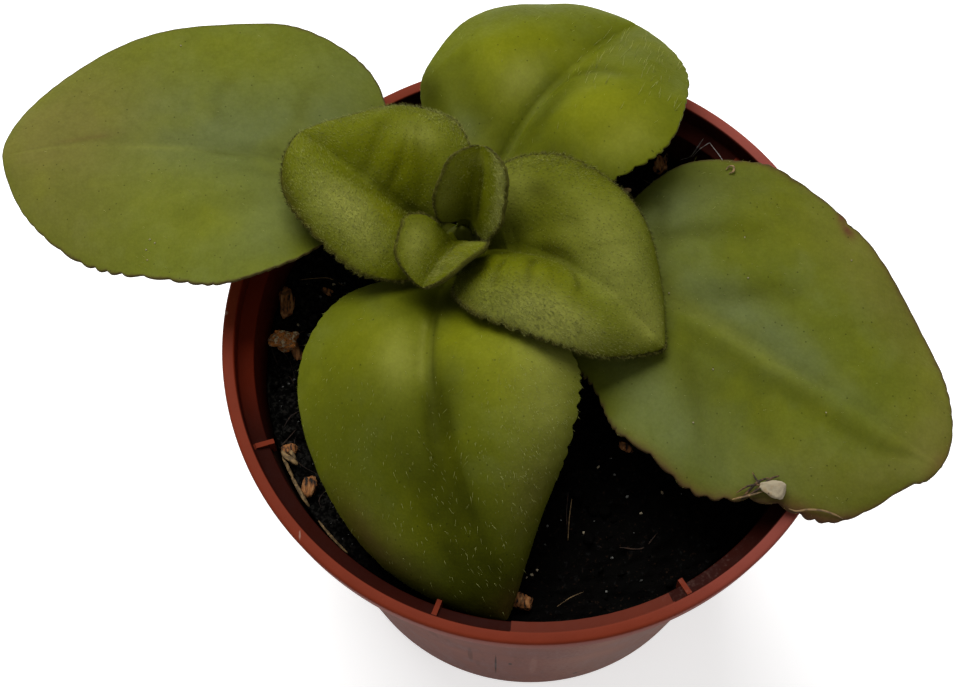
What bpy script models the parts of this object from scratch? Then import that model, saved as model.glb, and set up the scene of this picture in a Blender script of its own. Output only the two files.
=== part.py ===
"""A young primulina growing in a small nursery pot.

Metres, +Z up. The origin is the centre of the pot's underside, and the plant is seen best from -Y and above.
Each leaf is one thin surface, bent by a formula along its midrib and then given its thickness underneath.
"""

import math
from dataclasses import dataclass

import bmesh
import bpy
import numpy as np
from mathutils import Matrix, Vector, noise

# Pot
RIM_RADIUS = 0.045
POT_HEIGHT = 0.080
FOOT_RADIUS = 0.033
LIP_HEIGHT = 0.005
LIP_TAPER = 0.0006
LIP_EDGE_ROUND = 0.0004
LIP_WIDTH = 0.0019
LEDGE_BOTTOM = 0.0756
LEDGE_TOP = 0.0764
SHOULDER_RADIUS = 0.0418
WALL = 0.001
FLOOR = 0.0012
FOOT_ROUND = 0.0010
POT_SEGMENTS = 60
DRAIN_HOLES = 8
DRAIN_HOLE_RADIUS = 0.0025
DRAIN_CIRCLE_RADIUS = 0.026
RIB_ANGLES = (-160.6, -111.4, -62.1, -9.9, 42.4, 94.7, 147.0)
RIB_WIDTH = 0.0009
# The ribs bridge the ledge under the lip: (radius, height) round their section, half of it in the wall.
RIB_SECTION = (
    (0.0400, 0.0725),
    (0.0410, 0.0725),
    (0.0411, 0.0753),
    (0.0427, 0.0753),
    (0.0427, 0.0766),
    (0.0400, 0.0760),
)
# The lip is thicker along one stretch.
PAD_SECTION = ((0.0416, 0.0753), (0.0438, 0.0753), (0.0438, 0.0791), (0.0416, 0.0791))
PAD_START, PAD_END = math.radians(263.3), math.radians(293.7)
PAD_STEPS = 5

# Soil
GAP = 0.0003
SOIL_TOP = 0.068
SOIL_LUMP = 0.0009
SOIL_LUMP_SIZE = 0.0055
SOIL_RINGS = 13
SOIL_SEGMENTS = POT_SEGMENTS
SOIL_FINE_SCALE = 2.3
HOLE_CUT_ABOVE = 0.005
CHIP_CLEARING = 0.0028

# Stem
STEM_X, STEM_Y = -0.010, 0.014
STEM_FOOT = 0.058
STEM_RADIUS = 0.0042
STEM_SEGMENTS = 24
# The stem narrows above each pair of leaves: (share of its radius, height).
STEM_STEPS = (
    (0.80, 0.0583),
    (1.00, 0.0620),
    (0.97, 0.0763),
    (0.83, 0.0785),
    (0.78, 0.0803),
    (0.69, 0.0825),
    (0.44, 0.0836),
    (0.32, 0.0850),
    (0.17, 0.0863),
    (0.08, 0.0872),
)

# Leaves
MIDRIB_STEPS = 120
STALK_ROWS = 3
ROW_SLANT = 0.18
LEAST_DROOP = 1e-3
# Teeth start where the blade has reached this share of its width, and then grow at this rate.
TOOTH_START, TOOTH_RAMP = 0.12, 1.6
EDGE_THICKNESS = 0.0008
RIDGE_THICKNESS = 0.0026
RIDGE_FADE = 0.4

MATERIAL_COLOURS = {
    "terracotta_plastic": ((0.165, 0.040, 0.026), 0.45),
    "peat": ((0.010, 0.008, 0.006), 0.95),
    "leaf_old": ((0.150, 0.160, 0.045), 0.55),
    "leaf_young": ((0.170, 0.190, 0.022), 0.60),
    "stem_green": ((0.120, 0.130, 0.040), 0.60),
    "bark": ((0.120, 0.045, 0.015), 0.85),
    "clay": ((0.260, 0.150, 0.070), 0.90),
    "perlite": ((0.640, 0.620, 0.580), 0.90),
}


@dataclass
class Leaf:
    """One leaf. Angles are in degrees; a pair gives the value at the start and at the tip."""

    name: str
    stem_height: float
    stem_reach: float
    heading: tuple
    rise: tuple
    roll: tuple
    petiole: float
    length: float
    half_widths: tuple
    fold: tuple
    droop: tuple
    widest: float
    shoulder: float
    point: float
    heading_ease: float = 1.0
    rise_ease: float = 1.0
    dome: float = 0.0
    ripple: tuple = (0.0003, 2.0)
    petiole_half_width: float = 0.0024
    bulges: tuple = ()
    rows: int = 40
    strips: int = 8
    tooth: float = 0.0006
    material: str = "leaf_old"


LEAVES = (
    Leaf(
        "leaf_left", 0.0761, 0.0045, heading=(130, 186), rise=(29, -7), roll=(6, 8),
        petiole=0.0135, length=0.0555, half_widths=(0.0256, 0.0217), fold=(22, 1), droop=(3, 24),
        widest=0.35, shoulder=0.88, point=1.02, heading_ease=0.47, rise_ease=0.47,
        ripple=(0.0006, 2.2), bulges=((1, 0.90, 0.06, 0.0016), (-1, 0.40, 0.10, -0.0005)),
    ),
    Leaf(
        "leaf_right", 0.0755, 0.0045, heading=(8, -39.5), rise=(22, -4), roll=(3, -2.5),
        petiole=0.0155, length=0.0570, half_widths=(0.0225, 0.0225), fold=(23, 11), droop=(30, 44),
        widest=0.275, shoulder=0.86, point=1.0, heading_ease=0.22, rise_ease=0.53,
        ripple=(-0.0009, 2.6),
        bulges=((1, 0.285, 0.185, 0.0033), (1, 0.57, 0.120, 0.0040), (-1, 0.34, 0.13, -0.0038),
                (-1, 0.62, 0.06, 0.0027), (-1, 0.81, 0.073, 0.0045), (-1, 0.91, 0.041, -0.0060)),
    ),
    Leaf(
        "leaf_far", 0.0790, 0.0042, heading=(67.5, 39.5), rise=(38, -22), roll=(-6, -18),
        petiole=0.0065, length=0.0370, half_widths=(0.0190, 0.0220), fold=(40, 16), droop=(57, 30),
        widest=0.48, shoulder=0.96, point=1.00, heading_ease=0.78, rise_ease=0.66, dome=0.0015,
        bulges=((1, 0.32, 0.09, 0.0015), (1, 0.75, 0.07, -0.0015), (-1, 0.71, 0.11, -0.0011)),
    ),
    Leaf(
        "leaf_near", 0.0790, 0.0042, heading=(-115, -51), rise=(49, -61), roll=(4, 10),
        petiole=0.0050, length=0.0565, half_widths=(0.0220, 0.0200), fold=(23, -7), droop=(46, 65),
        widest=0.32, shoulder=0.93, point=1.08, heading_ease=0.90, rise_ease=0.92, dome=0.0012,
    ),
    Leaf(
        "leaf_centre_left", 0.0825, 0.0034, heading=(157, 135), rise=(41, -8), roll=(-9, 15),
        petiole=0.0010, length=0.0250, half_widths=(0.0140, 0.0150), fold=(46, 23), droop=(43, 57),
        widest=0.31, shoulder=0.70, point=1.15, dome=0.0008, rows=32, tooth=0.0004,
        material="leaf_young",
    ),
    Leaf(
        "leaf_centre_right", 0.0825, 0.0034, heading=(-25, -44), rise=(54, -43), roll=(11, -17),
        petiole=0.0010, length=0.0335, half_widths=(0.0150, 0.0140), fold=(51, 12), droop=(37, 65),
        widest=0.29, shoulder=0.78, point=1.45, dome=0.0008, rows=32, tooth=0.0004,
        material="leaf_young",
    ),
    Leaf(
        "leaf_bud_far", 0.0860, 0.0018, heading=(59, 79), rise=(84, 35), roll=(7, -4),
        petiole=0.0010, length=0.0125, half_widths=(0.0060, 0.0071), fold=(43, 35), droop=(-6, 2),
        widest=0.43, shoulder=0.75, point=0.93, petiole_half_width=0.0016, rows=20, strips=6,
        tooth=0.0002, ripple=(0.0001, 1.5), material="leaf_young",
    ),
    Leaf(
        "leaf_bud_near", 0.0860, 0.0018, heading=(-122, -115), rise=(53, -7), roll=(0, 11),
        petiole=0.0010, length=0.0105, half_widths=(0.0075, 0.0073), fold=(38, 44), droop=(20, 0),
        widest=0.45, shoulder=0.80, point=0.96, petiole_half_width=0.0016, rows=20, strips=6,
        tooth=0.0002, ripple=(0.0001, 1.5), material="leaf_young",
    ),
)


@dataclass
class Chip:
    """A loose bit lying on the soil: its middle, its three sizes and the way it is turned."""

    name: str
    x: float
    y: float
    size: tuple
    turn: float
    seed: float
    material: str


CHIPS = (
    Chip("bark_chip", -0.0367, 0.0109, (0.0022, 0.0046, 0.0018), 8, 3.0, "bark"),
    Chip("clay_nugget", -0.0372, 0.0048, (0.0037, 0.0028, 0.0024), 20, 7.0, "clay"),
)
PERLITE_SIZE = (0.0034, 0.0022, 0.0018)
PERLITE_LEAF = "leaf_right"
PERLITE_ALONG, PERLITE_ACROSS = 0.70, -0.90
SMALL_STEP = 0.01
CHIP_ROUGHNESS = 0.22
CHIP_LUMPS = 4
CHIP_BOXINESS = 0.75


def clear_scene():
    for old in list(bpy.data.objects):
        bpy.data.objects.remove(old, do_unlink=True)


def new_collection(name):
    collection = bpy.data.collections.new(name)
    bpy.context.scene.collection.children.link(collection)
    return collection


def make_materials():
    made = {}
    for name, (colour, roughness) in MATERIAL_COLOURS.items():
        material = bpy.data.materials.new(name)
        material.use_nodes = True
        shader = material.node_tree.nodes["Principled BSDF"]
        shader.inputs["Base Color"].default_value = (*colour, 1)
        shader.inputs["Roughness"].default_value = roughness
        shader.inputs["Metallic"].default_value = 0
        made[name] = material
    return made


def add_object(name, mesh, collection, material=None):
    obj = bpy.data.objects.new(name, mesh)
    collection.objects.link(obj)
    if material:
        mesh.materials.append(material)
    return obj


def mesh_from(bm, name):
    bmesh.ops.recalc_face_normals(bm, faces=bm.faces[:])
    mesh = bpy.data.meshes.new(name)
    bm.to_mesh(mesh)
    bm.free()
    mesh.shade_smooth()
    return mesh


def hide_helper(obj):
    obj.hide_render = True
    obj.display_type = "WIRE"


def turned(name, profile, segments, collection, material=None):
    """A solid of revolution round Z from (radius, height) points, with its outer side running downwards."""
    bm = bmesh.new()
    points = [bm.verts.new((radius, 0, height)) for radius, height in profile]
    for start, end in zip(points, points[1:]):
        bm.edges.new((start, end))
    mesh = bpy.data.meshes.new(name)
    bm.to_mesh(mesh)
    bm.free()
    obj = add_object(name, mesh, collection, material)
    screw = obj.modifiers.new("turn", "SCREW")
    screw.axis = "Z"
    screw.steps = screw.render_steps = segments
    screw.use_merge_vertices = True
    screw.merge_threshold = 0.00001
    return obj


def add_boolean(obj, other, operation):
    modifier = obj.modifiers.new(other.name, "BOOLEAN")
    modifier.operation = operation
    modifier.object = other
    modifier.solver = "EXACT"


def wall_radius(height):
    """The pot's outer wall between its foot and its shoulder."""
    share = height / (POT_HEIGHT - LIP_HEIGHT)
    return FOOT_RADIUS + (SHOULDER_RADIUS - FOOT_RADIUS) * share


def pot_profile():
    lip_bottom = POT_HEIGHT - LIP_HEIGHT
    lip_lower_radius = RIM_RADIUS - LIP_TAPER
    lip_inner_radius = RIM_RADIUS - LIP_WIDTH
    inner_shoulder = SHOULDER_RADIUS - WALL
    return (
        (0, FLOOR),
        (wall_radius(FLOOR) - WALL - FOOT_ROUND, FLOOR),
        (wall_radius(FLOOR + FOOT_ROUND) - WALL, FLOOR + FOOT_ROUND),
        (inner_shoulder, lip_bottom),
        (inner_shoulder, LEDGE_BOTTOM),
        (lip_inner_radius, LEDGE_TOP),
        (lip_inner_radius, POT_HEIGHT - LIP_EDGE_ROUND),
        (lip_inner_radius + LIP_EDGE_ROUND, POT_HEIGHT),
        (RIM_RADIUS - LIP_EDGE_ROUND, POT_HEIGHT),
        (RIM_RADIUS, POT_HEIGHT - LIP_EDGE_ROUND),
        (lip_lower_radius, lip_bottom + LIP_EDGE_ROUND),
        (lip_lower_radius - LIP_EDGE_ROUND, lip_bottom),
        (SHOULDER_RADIUS, lip_bottom),
        (wall_radius(FOOT_ROUND), FOOT_ROUND),
        (FOOT_RADIUS - FOOT_ROUND, 0),
        (0, 0),
    )


def add_bar(bm, section, start, end, steps):
    """Adds a bar of that (radius, height) section, bent round Z from one angle to the other."""
    turn = Matrix.Rotation(start, 4, "Z")
    face = bm.faces.new([bm.verts.new(turn @ Vector((radius, 0, height))) for radius, height in section])
    bmesh.ops.spin(bm, geom=[face], axis=(0, 0, 1), cent=(0, 0, 0), angle=end - start, steps=steps)


def make_pot(parts, cutters, materials):
    """A thin moulded pot with a lip, drain holes and ribs that keep stacked pots apart."""
    pot = turned("pot", pot_profile(), POT_SEGMENTS, parts, materials["terracotta_plastic"])
    holes = bmesh.new()
    for index in range(DRAIN_HOLES):
        angle = 2 * math.pi * (index + 0.5) / DRAIN_HOLES
        place = Matrix.Translation(
            (DRAIN_CIRCLE_RADIUS * math.cos(angle), DRAIN_CIRCLE_RADIUS * math.sin(angle), 0)
        )
        bmesh.ops.create_cone(
            holes, cap_ends=True, segments=16, radius1=DRAIN_HOLE_RADIUS,
            radius2=DRAIN_HOLE_RADIUS, depth=6 * FLOOR, matrix=place,
        )
    hole_cutter = add_object("drain_hole_cutter", mesh_from(holes, "drain_hole_cutter"), cutters)
    bars = bmesh.new()
    half_angle = RIB_WIDTH / 2 / RIB_SECTION[0][0]
    for degrees in RIB_ANGLES:
        angle = math.radians(degrees)
        add_bar(bars, RIB_SECTION, angle - half_angle, angle + half_angle, 1)
    add_bar(bars, PAD_SECTION, PAD_START, PAD_END, PAD_STEPS)
    added_bars = add_object("ribs_and_pad", mesh_from(bars, "ribs_and_pad"), cutters)
    hide_helper(hole_cutter)
    hide_helper(added_bars)
    add_boolean(pot, hole_cutter, "DIFFERENCE")
    add_boolean(pot, added_bars, "UNION")
    return pot


def soil_height(x, y):
    """The lumpy top of the mix, level where a loose bit lies on it."""
    spot = Vector((x / SOIL_LUMP_SIZE, y / SOIL_LUMP_SIZE, 0.0))
    lump = noise.noise(spot) + noise.noise(SOIL_FINE_SCALE * spot) / SOIL_FINE_SCALE
    for chip in CHIPS:
        away = math.hypot(x - chip.x, y - chip.y)
        lump *= min(1.0, max(0.0, away / CHIP_CLEARING - 1) * 2)
    return SOIL_TOP + SOIL_LUMP * lump


def soil_profile():
    bottom = FLOOR + GAP
    lower_radius = wall_radius(bottom) - WALL - FOOT_ROUND - GAP
    upper_radius = wall_radius(SOIL_TOP) - WALL - GAP
    rings = [(upper_radius * ring / SOIL_RINGS, SOIL_TOP) for ring in range(SOIL_RINGS + 1)]
    foot = wall_radius(bottom + FOOT_ROUND) - WALL - GAP
    return (*rings, (foot, bottom + FOOT_ROUND), (lower_radius, bottom), (0, bottom))


def make_soil(parts, cutters, materials):
    """One plug of potting mix, with a lumpy top and a plain hole for the stem."""
    blank = turned("soil_blank", soil_profile(), SOIL_SEGMENTS, parts)
    bpy.context.view_layer.update()
    graph = bpy.context.evaluated_depsgraph_get()
    mesh = bpy.data.meshes.new_from_object(blank.evaluated_get(graph))
    bpy.data.objects.remove(blank, do_unlink=True)
    mesh.name = "soil"
    for vertex in mesh.vertices:
        if abs(vertex.co.z - SOIL_TOP) < GAP:
            vertex.co.z = soil_height(vertex.co.x, vertex.co.y)
    soil = add_object("soil", mesh, parts, materials["peat"])
    hole = bmesh.new()
    top = SOIL_TOP + HOLE_CUT_ABOVE
    bmesh.ops.create_cone(
        hole, cap_ends=True, segments=STEM_SEGMENTS, radius1=STEM_RADIUS + 2 * GAP,
        radius2=STEM_RADIUS + 2 * GAP, depth=top - STEM_FOOT,
        matrix=Matrix.Translation((STEM_X, STEM_Y, (top + STEM_FOOT) / 2)),
    )
    cutter = add_object("stem_hole_cutter", mesh_from(hole, "stem_hole_cutter"), cutters)
    hide_helper(cutter)
    add_boolean(soil, cutter, "DIFFERENCE")
    return soil


def make_stem(parts, materials):
    """The short stem: it stands in the soil and narrows above each pair of leaves."""
    top = STEM_STEPS[-1][1]
    rising = [(STEM_RADIUS * share, height) for share, height in STEM_STEPS]
    profile = ((0, top + GAP), *reversed(rising), (0, rising[0][1]))
    stem = turned("stem", profile, STEM_SEGMENTS, parts, materials["stem_green"])
    stem.location = (STEM_X, STEM_Y, 0)
    return stem


def between(pair, share):
    return pair[0] + (pair[1] - pair[0]) * share


def directions(leaf, share):
    """Forward, left and up along the midrib, at each share of its length."""
    heading = np.radians(between(leaf.heading, share**leaf.heading_ease))
    rise = np.radians(between(leaf.rise, share**leaf.rise_ease))
    roll = np.radians(between(leaf.roll, share))[..., None]
    level = np.zeros_like(heading)
    forward = np.stack(
        [np.cos(rise) * np.cos(heading), np.cos(rise) * np.sin(heading), np.sin(rise)], axis=-1
    )
    flat_left = np.stack([-np.sin(heading), np.cos(heading), level], axis=-1)
    upright = np.cross(forward, flat_left)
    left = flat_left * np.cos(roll) + upright * np.sin(roll)
    up = upright * np.cos(roll) - flat_left * np.sin(roll)
    return forward, left, up


def midrib_points(leaf, share):
    """Points of the midrib, which starts at the stem and follows its own heading and rise."""
    steps = np.linspace(0, 1, MIDRIB_STEPS + 1)
    forward = directions(leaf, steps)[0]
    total = leaf.petiole + leaf.length
    path = np.zeros((MIDRIB_STEPS + 1, 3))
    path[1:] = np.cumsum((forward[1:] + forward[:-1]) / 2, axis=0) * total / MIDRIB_STEPS
    start = math.radians(leaf.heading[0])
    path += (
        STEM_X + leaf.stem_reach * math.cos(start),
        STEM_Y + leaf.stem_reach * math.sin(start),
        leaf.stem_height,
    )
    return np.stack([np.interp(share, steps, path[:, axis]) for axis in range(3)], axis=-1)


def outline(leaf, row, side):
    """For rows from -1 at the stem to 0 at the blade's base and 1 at its tip: how far along the midrib and
    the margin each one lies, and its half-width on that side."""
    turn = np.pi * np.clip(row, 0, 1)
    sine = np.clip(np.sin(turn), 0, 1)
    in_base = turn <= np.pi / 2
    reach = np.where(
        in_base, leaf.widest * (1 - np.cos(turn)), leaf.widest - (1 - leaf.widest) * np.cos(turn)
    )
    swell = sine ** np.where(in_base, leaf.shoulder, leaf.point)
    stalk = leaf.petiole * (1 + np.minimum(row, 0))
    margin_run = stalk + leaf.length * reach
    midrib_run = stalk + leaf.length * reach * (1 - ROW_SLANT * sine)
    full = np.where(side > 0, *leaf.half_widths)
    for bulge_side, middle, spread, amount in leaf.bulges:
        here = np.exp(-(((row - middle) / spread) ** 2)) * amount
        full = full + np.where(side * bulge_side > 0, here, 0)
    narrow = leaf.petiole_half_width * (1 - np.clip(row, 0, 1))
    half = np.where(row >= 1, 0, narrow + (full - narrow) * np.where(row > 0, swell, 0))
    return midrib_run, margin_run, half, swell


def leaf_points(leaf, row, across):
    """Points of the leaf's upper face. across runs from -1 at the right margin to 1 at the left one."""
    out = np.abs(across)
    midrib_run, margin_run, half, _ = outline(leaf, row, across)
    run = midrib_run + np.minimum(out, 1) * (margin_run - midrib_run)
    share = np.clip(run / (leaf.petiole + leaf.length), 0, 1)
    blade_share = np.clip((run - leaf.petiole) / leaf.length, 0, 1)
    fold = np.radians(between(leaf.fold, blade_share))
    droop = np.radians(between(leaf.droop, blade_share))
    droop = np.where(np.abs(droop) < LEAST_DROOP, LEAST_DROOP, droop)
    lift = half * (np.cos(fold - droop * out) - np.cos(fold)) / droop
    sideways = half * (np.sin(fold) - np.sin(fold - droop * out)) / droop
    crest = np.sin(np.pi * blade_share)
    wave, waves = leaf.ripple
    lift = lift + leaf.dome * np.sin(np.pi * np.minimum(out, 1)) * crest
    lift = lift + wave * out**2 * crest * np.sin(2 * np.pi * waves * blade_share + across)
    _, left, up = directions(leaf, share)
    return (
        midrib_points(leaf, share)
        + (np.sign(across) * sideways)[..., None] * left
        + lift[..., None] * up
    )


def grid_rows(leaf, index):
    """The row parameter of each cross row of the grid: a few on the stalk, the rest on the blade."""
    return np.where(
        index < STALK_ROWS, index / STALK_ROWS - 1, (index - STALK_ROWS) / leaf.rows
    )


def leaf_thickness(row, across):
    """Thick under the midrib and the stalk, thin at the margins and the tip."""
    ridge = RIDGE_THICKNESS - (RIDGE_THICKNESS - EDGE_THICKNESS) * np.clip(row, 0, 1) ** RIDGE_FADE
    return EDGE_THICKNESS + (ridge - EDGE_THICKNESS) * (1 - np.minimum(np.abs(across), 1)) ** 2


def make_leaf(leaf, parts, materials):
    """One leaf with a stalk, a bent blade and round teeth along its margin."""
    bm = bmesh.new()
    all_rows = STALK_ROWS + leaf.rows
    bmesh.ops.create_grid(bm, x_segments=all_rows, y_segments=leaf.strips, size=1)
    flat = np.array([vertex.co for vertex in bm.verts])
    index = np.rint((flat[:, 0] + 1) / 2 * all_rows)
    row, across = grid_rows(leaf, index), flat[:, 1]
    _, _, half, swell = outline(leaf, row, across)
    is_margin = np.isclose(np.abs(across), 1)
    fade = np.where(row > 0, np.clip(TOOTH_RAMP * (swell - TOOTH_START), 0, 1), 0)
    tooth = np.where(index % 2 == 1, 0.5, -0.5) * leaf.tooth * fade
    wide = np.maximum(half, leaf.petiole_half_width)
    toothed = across * np.where(is_margin, 1 + tooth / wide, 1)
    thickness = leaf_thickness(row, across)
    for vertex, point in zip(bm.verts, leaf_points(leaf, row, toothed)):
        vertex.co = point
    layer = bm.verts.layers.deform.verify()
    for vertex, share in zip(bm.verts, thickness / RIDGE_THICKNESS):
        vertex[layer][0] = share
    bmesh.ops.remove_doubles(bm, verts=bm.verts[:], dist=1e-6)
    bmesh.ops.triangulate(bm, faces=bm.faces[:], quad_method="SHORT_EDGE")
    mesh = bpy.data.meshes.new(leaf.name)
    bm.to_mesh(mesh)
    bm.free()
    mesh.shade_smooth()
    obj = add_object(leaf.name, mesh, parts, materials[leaf.material])
    obj.vertex_groups.new(name="thickness")
    solid = obj.modifiers.new("thickness", "SOLIDIFY")
    solid.thickness = RIDGE_THICKNESS
    solid.vertex_group = "thickness"
    solid.offset = -1
    return obj


def rough_lump(name, size, seed):
    """A small closed lump: an icosphere stretched to its size, with its points moved by noise."""
    bm = bmesh.new()
    bmesh.ops.create_icosphere(bm, subdivisions=2, radius=1)
    for vertex in bm.verts:
        bump = 1 + CHIP_ROUGHNESS * noise.noise(vertex.co * CHIP_LUMPS + Vector((seed, 0, 0)))
        vertex.co = Vector(
            math.copysign(abs(part) ** CHIP_BOXINESS, part) * bump * side / 2
            for part, side in zip(vertex.co, size)
        )
    lowest = min(vertex.co.z for vertex in bm.verts)
    for vertex in bm.verts:
        vertex.co.z -= lowest
    return mesh_from(bm, name)


def make_chips(parts, materials):
    """Loose bits on the soil, each on its own level spot."""
    for chip in CHIPS:
        mesh = rough_lump(chip.name, chip.size, chip.seed)
        obj = add_object(chip.name, mesh, parts, materials[chip.material])
        obj.location = (chip.x, chip.y, SOIL_TOP + GAP)
        obj.rotation_euler = (0, 0, math.radians(chip.turn))


def make_perlite(parts, materials):
    """A grain of perlite that lies on the near edge of the right-hand leaf."""
    leaf = next(leaf for leaf in LEAVES if leaf.name == PERLITE_LEAF)
    row = np.array([PERLITE_ALONG, PERLITE_ALONG + SMALL_STEP, PERLITE_ALONG])
    across = np.array([PERLITE_ACROSS, PERLITE_ACROSS, PERLITE_ACROSS + SMALL_STEP])
    spot, ahead, aside = (Vector(point) for point in leaf_points(leaf, row, across))
    forward = (ahead - spot).normalized()
    up = forward.cross(aside - spot).normalized()
    side = up.cross(forward)
    obj = add_object(
        "perlite_grain", rough_lump("perlite_grain", PERLITE_SIZE, 11.0), parts, materials["perlite"]
    )
    turn = Matrix((forward, side, up)).transposed().to_4x4()
    obj.matrix_world = Matrix.Translation(spot + up * GAP) @ turn


def main():
    clear_scene()
    parts = new_collection("primulina_plant")
    cutters = new_collection("cutters")
    materials = make_materials()
    make_pot(parts, cutters, materials)
    make_soil(parts, cutters, materials)
    make_stem(parts, materials)
    for leaf in LEAVES:
        make_leaf(leaf, parts, materials)
    make_chips(parts, materials)
    make_perlite(parts, materials)


main()
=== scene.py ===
"""The looks of a young primulina in its small nursery pot.

Every piece stands where the packed model says. Metres, +Z up, with the origin under the pot's middle.
Run as a script, the file makes all pieces; its panel in the 3D view's sidebar makes any of them again.
"""

import math
from dataclasses import dataclass

import bmesh
import bpy
import numpy as np
from bpy.props import FloatProperty, FloatVectorProperty, IntProperty, PointerProperty
from mathutils import Matrix, Vector, noise


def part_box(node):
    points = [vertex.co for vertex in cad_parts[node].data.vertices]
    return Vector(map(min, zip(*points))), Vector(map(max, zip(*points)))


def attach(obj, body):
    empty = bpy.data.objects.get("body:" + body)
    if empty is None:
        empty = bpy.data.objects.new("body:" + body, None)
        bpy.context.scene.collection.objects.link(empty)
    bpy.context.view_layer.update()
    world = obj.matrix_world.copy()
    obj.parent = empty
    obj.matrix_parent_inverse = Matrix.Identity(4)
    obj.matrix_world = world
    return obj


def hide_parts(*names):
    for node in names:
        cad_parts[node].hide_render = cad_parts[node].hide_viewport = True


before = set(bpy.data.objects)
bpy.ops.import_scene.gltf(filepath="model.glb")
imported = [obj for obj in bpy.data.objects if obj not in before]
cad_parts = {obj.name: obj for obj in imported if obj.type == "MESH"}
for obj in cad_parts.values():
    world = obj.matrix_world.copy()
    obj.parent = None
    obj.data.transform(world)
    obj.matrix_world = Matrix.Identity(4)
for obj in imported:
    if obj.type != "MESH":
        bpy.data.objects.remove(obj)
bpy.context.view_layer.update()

bl_info = {
    "name": "Potted Primulina",
    "version": (1, 0, 0),
    "blender": (4, 5, 0),
    "location": "3D View > Sidebar > Primulina",
    "description": "A young primulina with hairy, scalloped leaves in a small nursery pot",
    "category": "Add Mesh",
}

MM = 0.001

# Camera, found from the circle of the pot's rim
CAMERA_TARGET = Vector((-0.00808, -0.00094, 0.080))
CAMERA_DISTANCE = 0.286
CAMERA_ELEVATION = math.radians(68.28)
CAMERA_ROLL = math.radians(-1.78)
CAMERA_LENS = 75.157
CAMERA_SENSOR = 36
CAMERA_CLIP = (0.01, 20)

# Floor and lamp
FLOOR_CELLS = 8
FLOOR_HALF = 3
LAMP_PLACE = (-0.15, 0.50, 0.85)
LAMP_AIM = Vector((0, 0, 0.07))

# Pot
RIM_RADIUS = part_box("pot")[1].x
POT_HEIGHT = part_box("pot")[1].z
FOOT_RADIUS = 0.033
SHOULDER_RADIUS = 0.0418
LIP_HEIGHT = 0.005
LIP_TAPER = 0.0006
LIP_WIDTH = 0.0019
LIP_BOTTOM = POT_HEIGHT - LIP_HEIGHT
LIP_INNER = RIM_RADIUS - LIP_WIDTH
LEDGE_BOTTOM = 0.0756
LEDGE_TOP = 0.0764
WALL = 0.001
FLOOR = 0.0012
INNER_FOOT_ROUND = 0.0009
LEDGE_FOOT_ROUND = 0.0002
LEDGE_ROUND = 0.0003
LIP_INNER_ROUND = 0.0004
LIP_OUTER_ROUND = 0.0006
LIP_BOTTOM_ROUND = 0.0004
SHOULDER_ROUND = 0.0003
FOOT_ROUND = 0.0010
# The turned outline stops this far from the axis, and one point closes it.
AXIS_GAP = 0.0005
POT_SEGMENTS = 224
POT_STEP = 0.0035
SHARP_ANGLE = math.radians(50)
DRAIN_HOLES = 8
DRAIN_HOLE_RADIUS = 0.0025
DRAIN_HOLE_SEGMENTS = 32
DRAIN_CIRCLE_RADIUS = 0.026
RIB_ANGLES = (-160.6, -111.4, -62.1, -9.9, 42.4, 94.7, 147.0)
RIB_WIDTH = 0.0007
RIB_SECTION = (
    (0.0400, 0.0725),
    (0.0410, 0.0725),
    (0.0411, 0.0753),
    (0.0427, 0.0753),
    (0.0427, 0.0766),
    (0.0400, 0.0760),
)
PAD_SECTION = ((0.0416, 0.0753), (0.0438, 0.0753), (0.0438, 0.0791), (0.0416, 0.0791))
PAD_START, PAD_END = math.radians(263.3), math.radians(293.7)
PAD_STEPS = 10
# Where the pot's colours change. Each pair is the start and the end of a soft step.
LIP_HEIGHTS = (LIP_BOTTOM - 0.0010, LIP_BOTTOM - 0.0005)
LIP_RADII = (LIP_INNER + 0.0001, LIP_INNER + 0.0003)
LIP_FOOT_HEIGHTS = (LIP_BOTTOM + 0.0006, LIP_BOTTOM + 0.0030)
SHELTER_START = (0.0660, 0.0730)
SHELTER_END = (0.0744, 0.0749)
# Where the inner wall is painted lighter, towards the left and towards the back.
PAINTED_LIGHT_LEFT = (-0.040, -0.018)
PAINTED_LIGHT_BACK = (-0.014, 0.004)
# Where the back of the inner wall, with its own painted shade, begins.
FAR_WALL = (0.010, 0.030)
# Where the inner wall's painted deep shade fades out upwards.
DEEP_SHADE_HEIGHTS = (0.0680, 0.0745)
# Where the lip grows paler towards the right.
PALER_RIGHT = (0.010, 0.042)
RIB_HEIGHTS = (RIB_SECTION[0][1] - 0.0006, RIB_SECTION[0][1])
RIB_FRONT = (0.0398, 0.0399)
RIB_BACK = (LIP_INNER - 0.0003, LIP_INNER)
RIB_SIDES = (RIB_WIDTH * 0.51, RIB_WIDTH * 0.60)
# Half the width of the other steps, and how far the pad's colour goes past its ends, in radians
BORDER = 0.0002
PAD_MARGIN = 0.002

# Mix
SOIL_TOP = 0.068
GAP = 0.0003
SOIL_SEGMENTS = 300
SOIL_RINGS = 110
# Below its top the plug narrows by SIDE_DROP at SIDE_HEIGHT, and its foot is cut off at a slant.
SIDE_HEIGHT, SIDE_DROP = 0.04, 0.004
SLANT_HEIGHT, SLANT_DROP = 0.003, 0.0013
BOTTOM_MIDDLE = 0.004
# Its lumps, from broad to fine: (size, share of the lump height)
BROAD_LUMPS = (0.0120, 0.5)
MIDDLE_LUMPS = (0.0048, 0.8)
SMALL_LUMPS = (0.0021, 0.6)
FINE_LUMPS = (0.0009, 0.4)
# Loose stuff keeps this far from the wall. A share of it lies at the left: beyond LEFT_INNER of the radius
# and between LEFT_ANGLES, in degrees.
SPOT_MARGIN = 0.0012
LEFT_SHARE = 0.33
LEFT_INNER = 0.68
LEFT_ANGLES = (150, 232)
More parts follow.
